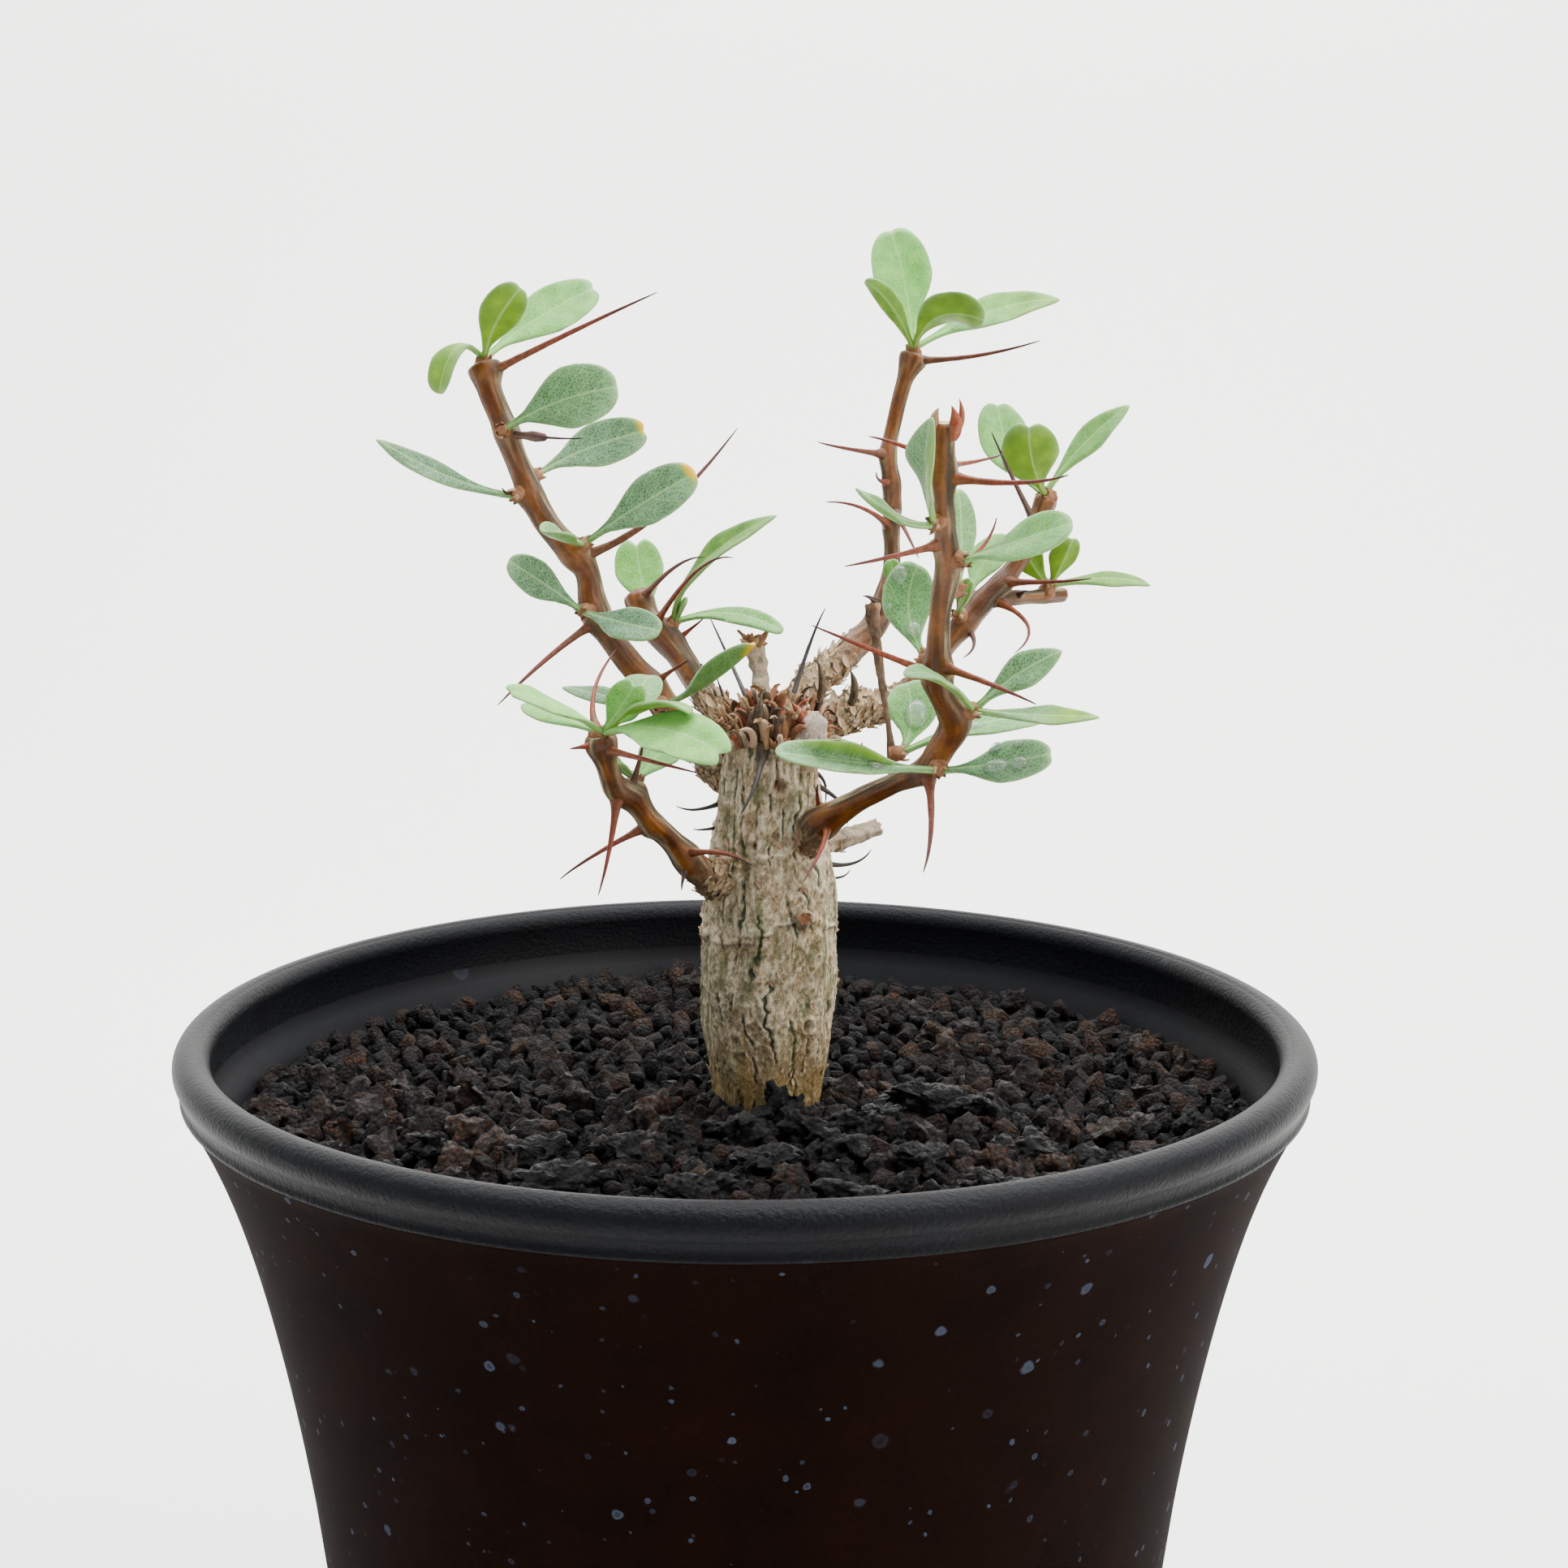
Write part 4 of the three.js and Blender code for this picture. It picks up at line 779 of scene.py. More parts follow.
def barkRelief(angle, height):
    # millimetres outwards, how deep in a green fissure, how mossy, how pale, how red a scar
    radius = smoothTrunkRadius(height)
    place = (math.cos(angle) * radius, math.sin(angle) * radius, height)
    lift = sum(size * math.sin(count * angle + turn * height) for count, turn, size in trunk["ridges"])
    count = trunk["fissureLines"]
    wander = grain(place, 7, 14) * 1.1 + grain(place, 2.2, 2.6) * 0.3 + grain(place, 0.8, 0.7) * 0.14
    phase = angle / fullTurn * count + wander
    number = math.floor(phase) % count
    off = abs(phase % 1 - 0.5) * fullTurn * radius / count
    opened = noise.noise(Vector((number * 3.7, 0.5, height / 3.4))) + 0.3 * grain(place, 8, 20)
    opened = float(smoothStep(-0.18, 0.1, opened))
    width = 0.02 + 0.09 * opened + 0.13 * grain(place, 0.5, 0.7)
    fissure = opened * float(smoothStep(max(width, 0.02) + 0.13, 0.02, off))
    patch = noise.noise(Vector((number * 5.1, 9.3, height / 8))) + (144 - height) * 0.008
    reach = off + 0.6 * grain(place, 0.45, 0.7)
    moss = float(smoothStep(0.0, 0.3, patch)) * float(smoothStep(0.95, 0.15, reach))
    border = opened * math.exp(-((off - width - 0.3) / 0.2) ** 2)
    flakes = grain(place, 0.62, 1.2) * 0.6 + grain(place, 0.33, 0.5) * 0.6 + grain(place, 2.1, 3.2) * 0.25
    pale = 0.55 + flakes * 0.9 + 0.42 * border - 0.22 * moss
    lift += flakes * 0.15 + border * 0.12 - fissure * 0.34 - moss * 0.08
    for ring in trunk["nodeRings"]:
        level = height - ring - 1.6 * math.sin(angle * 2 + ring) - grain(place, 3) * 1.4
        rough = 0.5 + grain(place, 1.2, 0.8)
        lift += rough * (0.5 * math.exp(-(level / 0.7) ** 2) - 0.35 * math.exp(-((level + 1.0) / 0.4) ** 2))
        pale += 0.7 * rough * math.exp(-(level / 0.8) ** 2)
        fissure *= 1 - 0.8 * math.exp(-(level / 0.8) ** 2)
    red = 0.0
    for degrees, level, size, depth, redness in trunk["scars"]:
        turn = (angle - math.radians(degrees) + math.pi) % fullTurn - math.pi
        away = math.hypot(turn * radius, (height - level) * 0.8) / size
        if away < 2.6:
            ringed = math.exp(-((away - 0.85) / 0.3) ** 2)
            lift += depth * (1.1 * ringed - 1.2 * math.exp(-(away / 0.5) ** 2))
            pale += 0.25 * ringed
            red = max(red, redness * math.exp(-(away / 0.75) ** 2))
            fissure *= float(smoothStep(0.8, 1.6, away))
    return lift, {"fissure": fissure, "moss": moss, "pale": min(max(pale, 0), 1), "red": red}


def trunkBark():
    # Dead cork in thin grey buff flakes. Living green tissue shows in the cracks between them,
    # and the foot, wet from the soil, is amber. The flakes are 0.3 to 1.5 mm, longer than wide.
    material, tree, shader = newMaterial("flaking boojum bark", {"Roughness": 0.82, "Specular IOR Level": 0.25})
    where = inMillimetres(tree, (1, 1, 0.48), (0.12, 0.1, 0))
    streak = addNode(tree, "ShaderNodeTexNoise",
                     {"Scale": 2.8, "Detail": 7.0, "Roughness": 0.78, "Distortion": 0.8}, {"Vector": where})
    broad = addNode(tree, "ShaderNodeTexNoise", {"Scale": 0.3, "Detail": 3.0}, {"Vector": where})
    crumb = addNode(tree, "ShaderNodeTexNoise",
                    {"Scale": 3.6, "Detail": 5.0, "Roughness": 0.6, "Distortion": 1.5}, {"Vector": where})
    pale, moss, crack, scar, bare = (
        addNode(tree, "ShaderNodeAttribute", {"attribute_name": name}).outputs["Fac"]
        for name in ("pale", "moss", "fissure", "red", "bare"))
    mixed = addNode(tree, "ShaderNodeMath", {"operation": "MULTIPLY_ADD", 1: 1.5}, {0: streak, 2: pale})
    layer = addNode(tree, "ShaderNodeMapRange", {"From Min": 0.6, "From Max": 1.9}, {"Value": mixed})
    cork = addNode(tree, "ShaderNodeValToRGB", {"stops": [
        (0.1, "#746d5c"), (0.3, "#9b937f"), (0.48, "#b5ac99"), (0.66, "#d3cab8"), (0.85, "#f8f1e2")]},
        {"Fac": layer})
    tint = addNode(tree, "ShaderNodeValToRGB", {"stops": [
        (0.34, "#e8e2c8"), (0.5, "#f6ecda"), (0.66, "#e2cdb4")]}, {"Fac": broad})
    colour = addNode(tree, "ShaderNodeMix", multiply, {6: cork, 7: tint}).outputs[2]
    fleck = addNode(tree, "ShaderNodeMapRange", {"From Min": 0.55, "From Max": 0.61, "To Max": 0.6},
                    {"Value": crumb})
    hollow = addNode(tree, "ShaderNodeMapRange", {"From Min": 0.45, "From Max": 0.38, "To Max": 0.55},
                     {"Value": crumb})
    grown = addNode(tree, "ShaderNodeMath", {"operation": "MULTIPLY", 1: 0.75}, {0: moss})
    deep = addNode(tree, "ShaderNodeMapRange", {"From Min": 0.2, "From Max": 0.75, "To Max": 0.95},
                   {"Value": crack})
    # amber foot, its upper edge ragged
    place = addNode(tree, "ShaderNodeTexCoord")
    height = addNode(tree, "ShaderNodeSeparateXYZ", links={"Vector": place.outputs["Object"]})
    ragged = addNode(tree, "ShaderNodeMath", {"operation": "MULTIPLY_ADD", 1: -0.02},
                     {0: broad, 2: height.outputs["Z"]})
    foot = addNode(tree, "ShaderNodeMapRange", {"From Min": 0.1255, "From Max": 0.117, "To Max": 0.8},
                   {"Value": ragged})
    for share, cover in (
            (fleck, "#e3cf9c"),
            (hollow, "#6a5a42"),
            (grown, [(0.36, "#4b5638"), (0.52, "#70764c"), (0.68, "#a89f74")]),
            (deep, [(0.35, "#36432f"), (0.65, "#69755a")]),
            (scar, "#6d3a20"),
            (bare, [(0.35, "#7f6654"), (0.55, "#bfae9f"), (0.7, "#efe8e0")]),
            (foot, [(0.35, "#46341a"), (0.52, "#8a6f38"), (0.7, "#bda368")])):
        if isinstance(cover, str):
            colour = addNode(tree, "ShaderNodeMix", {**overlay, 7: cover}, {0: share, 6: colour}).outputs[2]
            continue
        ramp = addNode(tree, "ShaderNodeValToRGB", {"stops": cover}, {"Fac": streak})
        colour = addNode(tree, "ShaderNodeMix", overlay, {0: share, 6: colour, 7: ramp}).outputs[2]
    fine = addNode(tree, "ShaderNodeTexNoise", {"Scale": 4.5, "Detail": 6.0, "Roughness": 0.8},
                   {"Vector": where})
    rough = addNode(tree, "ShaderNodeMath", {"operation": "ADD"}, {0: crumb, 1: fine})
    joinSurface(tree, shader, colour, rough, 0.3)
    return material


def deadWood():
    # Weathered dead tissue: dry, fibrous, without gloss.
    material, tree, shader = newMaterial("weathered dead wood", {"Roughness": 0.85, "Specular IOR Level": 0.25})
    fibre = addNode(tree, "ShaderNodeTexNoise", {"Scale": 1.3, "Detail": 6.0, "Roughness": 0.7},
                    {"Vector": inMillimetres(tree, (1, 1, 0.6))})
    shade = addNode(tree, "ShaderNodeValToRGB", {"stops": [(0.32, "#33241a"), (0.66, "#a68f70")]},
                    {"Fac": fibre})
    tone = addNode(tree, "ShaderNodeAttribute", {"attribute_name": "tone"})
    kinds = addNode(tree, "ShaderNodeValToRGB", {"stops": [
        (0.0, "#150d0a"), (0.18, "#40261a"), (0.36, "#7a4524"), (0.6, "#9c7a54"), (0.85, "#c8b292"),
        (1.0, "#8a3018")]},
        {"Fac": tone.outputs["Fac"]})
    colour = addNode(tree, "ShaderNodeMix", {**overlay, 0: 0.68}, {6: shade, 7: kinds}).outputs[2]
    joinSurface(tree, shader, colour, fibre, 0.15, 0.8)
    return material


def brokenStub(shape, number, stub):
    # long fibres, ragged at the broken end, over a scaly foot
    points, bare, redness = stub
    centres, radii, steps = throughPoints(points, 0.25)

    def relief(ring, angle):
        along = steps[ring] / steps[-1]
        turn = Vector((math.cos(angle), math.sin(angle), 0))
        fibre = noise.noise(turn * 2 + Vector((0, 0, steps[ring] * 0.12 + number * 7)))
        rough = noise.noise(turn * radii[ring] * 0.9 + Vector((0, 0, steps[ring] * 0.9 + number)))
        lift = fibre * 0.3 + rough * 0.5 * (1.15 - along * min(1, bare * 2))
        shown = float(smoothStep(0.2, 0.6, along)) * min(1.0, max(0.0, bare * (0.85 + fibre)))
        return lift, {"bare": shown, "red": redness * float(smoothStep(-0.1, 0.3, rough)), "pale": 0.5 + rough}

    sides = trunk["stubSides"]
    addTube(shape, centres, radii, sides, relief, endSlot=1, tone=0.75 if bare > 0.5 else 0.34)
    raggedEnd(shape, sides, centres)


def trunkStem(bark, wood):
    shape = Shape("fissure", "moss", "pale", "red", "bare", "tone")
    columns = trunk["columns"]
    bottom, top = trunk["profile"][0][0], trunk["profile"][-1][0]
    heights = [*np.arange(bottom, trunk["buried"], 2.0)]
    heights += [*np.arange(trunk["buried"], top - 0.01, trunk["rowHeight"]), top]
    points, looks = [], {name: [] for name in shape.values}
    for height in heights:
        for angle in np.linspace(-math.pi, math.pi, columns, endpoint=False) + math.pi / 2:
            lift, given = barkRelief(angle, height) if height > trunk["buried"] + 1 else (0, {})
            radius = max(smoothTrunkRadius(height) + lift, 0.2)
            points.append((trunk["x"] + math.cos(angle) * radius, math.sin(angle) * radius, height))
            for name, store in looks.items():
                store.append(given.get(name, 0.0))
    shape.add(points, gridFaces(len(heights), columns, True), **looks)
    closeEnds(shape, len(heights), columns, (trunk["x"], 0, bottom), (trunk["x"], 0, top + 0.5), pale=0.5)
    for number, stub in enumerate(trunk["stubs"]):
        brokenStub(shape, number, stub)
    return shape.piece("trunk_stem", [bark, wood], "trunk_bark", ["trunk"])


def raggedEnd(shape, sides, centres):
    # pulls the last ring and its cap in and out along the stem, as torn fibres
    direction = unit(centres[-1] - centres[-3])
    rim = len(shape.points) - sides - 1
    ring = rim - (sides + 1) - sides
    for index in range(sides):
        pull = noise.noise(Vector((math.cos(index * 0.9) * 3, math.sin(index * 0.9) * 3, centres[-1][0]))) * 0.7
        for target in (rim + index, ring + index):
            shape.points[target] = tuple(np.array(shape.points[target]) + direction * pull)


# Crown: dried bud scales and leaf bases, curled, in a heap round the growing point

crown = {
    "seed": 77,
    "scales": 150,
    "middle": [3.8, -0.6, 175.8],
    "spread": 7.4,
    "slope": 3.3,
    "tones": [0.02, 0.12, 0.2, 0.28, 0.36, 0.36, 0.5, 0.62, 0.62, 0.88, 0.9, 1.0],
    # [x, y, z, size, tone] of rosettes of scales round the dead knobs
    "rosettes": [
        (4.4, -6.2, 172.2, 0.85, 0.5), (-2.2, -4.8, 174.4, 0.75, 0.4), (1.2, 10.6, 183.6, 1.0, 0.5),
        (14.5, 2.6, 170.2, 0.7, 0.9), (6.5, -5.2, 176, 0.7, 0.9), (-1.2, 1.5, 176, 0.9, 0.36)],
    "rosetteScales": 13,
    "rosetteTurn": 2.4,
    # [root, bend, tip, width, tone]: two dark pointed scales, a red bud scale and two dark hooks
    "pointed": [
        [[2.0, -4.8, 172.6], [1.6, -6.4, 175.4], [2.3, -6.4, 179.8], 1.9, 0.0],
        [[1.2, -4.6, 172.6], [0.6, -6, 175], [1.4, -6.2, 178], 1.2, 0.1],
        [[6.4, -4.6, 174], [7.4, -6.2, 176], [6.0, -6.6, 178.4], 2.3, 1.0],
        [[14, 4, 176.5], [14.6, 3.4, 179], [13.9, 3.2, 181.5], 1.3, 0.0],
        [[9.5, 2, 176], [10.2, 1.6, 180], [9.4, 1.8, 183], 1.1, 0.05]],
    "pointedFace": [0, -1, 0.2],
}


def crownScales(wood):
    draw = random.Random(crown["seed"])
    shape = Shape("tone")
    for index in range(crown["scales"]):
        angle = index * goldenAngle + draw.random()
        share = math.sqrt((index + 0.6) / crown["scales"])
        out = np.array([math.cos(angle), math.sin(angle), 0])
        root = crown["middle"] + out * share * crown["spread"]
        root[2] += draw.uniform(-0.8, 0.6) - crown["slope"] * share ** 2
        height = draw.uniform(0.9, 3.4) * (1.1 - 0.4 * share)
        bend = root + out * draw.uniform(0.2, 1.2) + [0, 0, height]
        curl = draw.uniform(-1.1, 1.1)
        turned = np.array([math.cos(angle + curl), math.sin(angle + curl), 0])
        tip = bend + turned * draw.uniform(0.3, 1.6) + [0, 0, draw.uniform(-0.3, 1.5)]
        width = draw.uniform(0.7, 1.9)
        addScale(shape, root - [0, 0, 0.8], bend, tip, width, out, draw.choice(crown["tones"]))
    for x, y, z, size, tone in crown["rosettes"]:
        for index in range(crown["rosetteScales"]):
            angle = index * crown["rosetteTurn"]
            out = np.array([math.cos(angle), -abs(math.sin(angle)), draw.uniform(-0.2, 0.7)])
            root = [x, y, z] + out * 0.7 * size
            bend = root + out * 0.9 * size + [0, -0.2, 0.5 * size]
            tip = bend + (out * 0.5 + [draw.uniform(-0.5, 0.5), 0, draw.uniform(0.3, 1.1)]) * size
            shade = min(1, max(0, tone + draw.uniform(-0.25, 0.2)))
            addScale(shape, root, bend, tip, 1.2 * size, out, shade)
    for root, bend, tip, width, tone in crown["pointed"]:
        addScale(shape, root, bend, tip, width, crown["pointedFace"], tone)
    shape.piece("trunk_crown", [wood], "trunk_bark")


def addScale(shape, root, bend, tip, width, outwards, tone, slot=0):
    # one cupped pointed scale with a thin edge
    rows, columns = 8, 5
    line = curveThrough(root, bend, tip, rows)
    tangents = directionsAlong(line)
    outer, under = [], []
    for row in range(rows):
        share = row / (rows - 1)
        half = width / 2 * (0.8 + 0.9 * share) * max(1 - share ** 1.5, 0.02) ** 0.95
        side = unit(np.cross(tangents[row], outwards))
        lift = np.cross(side, tangents[row])
        for place in np.linspace(-1, 1, columns):
            cup = -0.42 * width * place * place * (1 - share * 0.5)
            point = line[row] + side * place * half + lift * cup
            thick = 0.11 * (1 - 0.6 * abs(place)) * (1 - 0.6 * share)
            outer.append(point + lift * thick)
            under.append(point - lift * thick)
    addBlade(shape, outer, under, rows, columns, slot=slot, tone=tone)


def addBlade(shape, upper, under, rows, columns, slot=0, uv=None, **values):
    # closes an upper and an under sheet of points into one thin solid
    sheet = rows * columns
    faces = gridFaces(rows, columns, False)
    faces += [tuple(sheet + i for i in reversed(face)) for face in gridFaces(rows, columns, False)]
    edge = [row * columns for row in range(rows)]
    edge += [(rows - 1) * columns + column for column in range(1, columns)]
    edge += [row * columns + columns - 1 for row in range(rows - 2, -1, -1)]
    edge += [column for column in range(columns - 2, 0, -1)]
    for a, b in zip(edge, edge[1:] + edge[:1]):
        faces.append((a, b, b + sheet, a + sheet))
    shape.add([*upper, *under], faces, slot, uv=uv, **values)


def oldSpines(old):
    shape = Shape("along", "tone")
    for root, bend, tip, radius in trunk["spines"]:
        addSpine(shape, root, bend, tip, radius, 1.0, 0)
    shape.piece("trunk_spines", [old], "trunk_bark")


spineForm = {"rings": 30, "sides": 12, "tipRadius": 0.06, "footLength": 1.6}
hornColours = {
    "young": [(0.0, "#664626"), (0.14, "#703a1a"), (0.5, "#772c12"), (0.85, "#541c0f"), (1.0, "#200c08")],
    "old": [(0.0, "#5c4c38"), (0.15, "#40352b"), (0.6, "#2e2927"), (1.0, "#12100f")],
}


def addSpine(shape, root, bend, tip, radius, tone, slot, broken=False):
    # a tapered thorn. Its foot widens where it grows out of the bark
    line = curveThrough(root, bend, tip, spineForm["rings"])
    length = lengthsAlong(line)
    share = length / length[-1]
    radii = radius * (1 - share) ** 0.8 * 0.68 + spineForm["tipRadius"]
    radii += radius * 0.7 * np.exp(-np.maximum(length - spineForm["footLength"], 0) / 0.9)
    if broken:  # a thick dead length that ends blunt, with only a red thread left beyond
        thick = radius * 0.85 + 0.1 * np.sin(length * 1.3)
        radii = np.where(share < 0.58, thick, radius * 0.32 * (1.4 - share))

    def relief(ring, angle):
        wave = noise.noise(Vector((math.cos(angle), math.sin(angle), length[ring] * 0.6 + root[0])))
        return wave * 0.1 * radii[ring], {}

    addTube(shape, line, radii, spineForm["sides"], relief, slot, along=share, tone=tone)


def spineHorn():
    # Spine horn: hard woody points, red brown when young and grey black when old, dull gloss.
    material, tree, shader = newMaterial("spine horn", {"Roughness": 0.5, "Specular IOR Level": 0.3})
    along = addNode(tree, "ShaderNodeAttribute", {"attribute_name": "along"}).outputs["Fac"]
    age = addNode(tree, "ShaderNodeAttribute", {"attribute_name": "tone"}).outputs["Fac"]
    young = addNode(tree, "ShaderNodeValToRGB", {"stops": hornColours["young"]}, {"Fac": along})
    old = addNode(tree, "ShaderNodeValToRGB", {"stops": hornColours["old"]}, {"Fac": along})
    colour = addNode(tree, "ShaderNodeMix", overlay, {0: age, 6: young, 7: old}).outputs[2]
    streak = addNode(tree, "ShaderNodeTexNoise", {"Scale": 1.7, "Detail": 4.0}, {"Vector": inMillimetres(tree)})
    worn = addNode(tree, "ShaderNodeValToRGB", {"stops": [(0.35, 0.6), (0.65, 1.2)]}, {"Fac": streak})
    colour = addNode(tree, "ShaderNodeMix", multiply, {6: colour, 7: worn}).outputs[2]
    joinSurface(tree, shader, colour, streak, 0.08, 0.4)
    return material


def flakeTree():
    # loose bark flakes on a stem, standing off it at one edge
    tree, given = newTree("bark flakes", {
        "Stem": "Geometry", "Flake": "Object", "Count per area": "Float", "Length": "Float", "Seed": "Int",
        "Finish": "Material"})
    spots = addNode(tree, "GeometryNodeDistributePointsOnFaces", {"distribute_method": "RANDOM"},
                    {"Mesh": given["Stem"], "Density": given["Count per area"], "Seed": given["Seed"]})
    flake = addNode(tree, "GeometryNodeObjectInfo", links={"Object": given["Flake"]})
    spin = addNode(tree, "FunctionNodeRandomValue", {"data_type": "FLOAT", 2: -0.7, 3: 0.7},
                   {"Seed": given["Seed"]})
    upright = addNode(tree, "FunctionNodeAlignEulerToVector", {"axis": "Z"},
                      {"Vector": spots.outputs["Normal"]})
    turned = addNode(tree, "FunctionNodeAlignEulerToVector",
                     {"axis": "Y", "pivot_axis": "Z", "Vector": (0.15, 0, 1)}, {"Rotation": upright})
    twist = addNode(tree, "ShaderNodeCombineXYZ", links={"Z": spin.outputs[1]})
    spun = addNode(tree, "FunctionNodeRotateEuler", {"space": "LOCAL"},
                   {"Rotation": turned, "Rotate By": twist})
    least = addNode(tree, "ShaderNodeMath", {"operation": "MULTIPLY", 1: 0.4}, {0: given["Length"]})
    size = addNode(tree, "FunctionNodeRandomValue", {"data_type": "FLOAT"},
                   {2: least, 3: given["Length"], "Seed": given["Seed"]})
    return strewOn(tree, given, spots, flake.outputs["Geometry"], spun, size.outputs[1], (0.5, 0.92))


def flakeShape():
    # one bark flake, a unit long, that curls up from its foot
    rows, columns = 5, 3
    upper, under = [], []
    for along in np.linspace(0, 1, rows):
        half = 0.26 * math.sin(math.pi * (0.15 + 0.75 * along))
        for place in np.linspace(-1, 1, columns):
            lift = 0.02 + 0.22 * along ** 2.2 + 0.05 * place * place
            upper.append((place * half, along - 0.3, lift + 0.03))
            under.append((place * half, along - 0.3, lift - 0.03))
    shape = Shape()
    addBlade(shape, upper, under, rows, columns)
    mesh = bpy.data.meshes.new("flake")
    mesh.from_pydata(shape.points, [], shape.faces)
    return onStage(bpy.data.objects.new("flake", mesh))


def barkFlakes(name, stems, keep, form, wood):
    # flakes on the faces of some stems that keep accepts, by centre and age
    surface = bmesh.new()
    for stem in stems:
        surface.from_mesh(stem.data)
    aged = surface.verts.layers.float.get("aged")

    def keepFace(face):
        age = sum(v[aged] for v in face.verts) / len(face.verts) if aged else 0
        return keep(face.calc_center_median() / mm, age)

    dropFaces(surface, keepFace)
    flake = flakeShape()
    flakes = runNodes(name, meshOf(f"{name} ground", surface), flakeTree(), {
        "Flake": flake, "Count per area": form["perArea"] / mm ** 2, "Length": form["length"] * mm,
        "Seed": form["seed"], "Finish": wood})
    bpy.data.objects.remove(flake)
    placed(flakes)


def onTrunk(centre, age):
    x, y, z = centre
    return 127 < z < 173 and math.hypot(x - trunk["x"], y) < 10.4 and grain((x, y, z), 3.2, 5) > 0


# Branches: green wood under glossy brown skin, with the grey skin of last year split into strips

branchForm = {
    "spacing": 0.3, "sides": 40, "deadSides": 20, "stripLift": 0.07, "settle": 0.26, "nodeSwell": 0.5,
    "ridgeLength": 9.0, "tipFace": [0, -1, 0.2], "flakes": {"perArea": 0.85, "length": 1.9, "seed": 5},
}

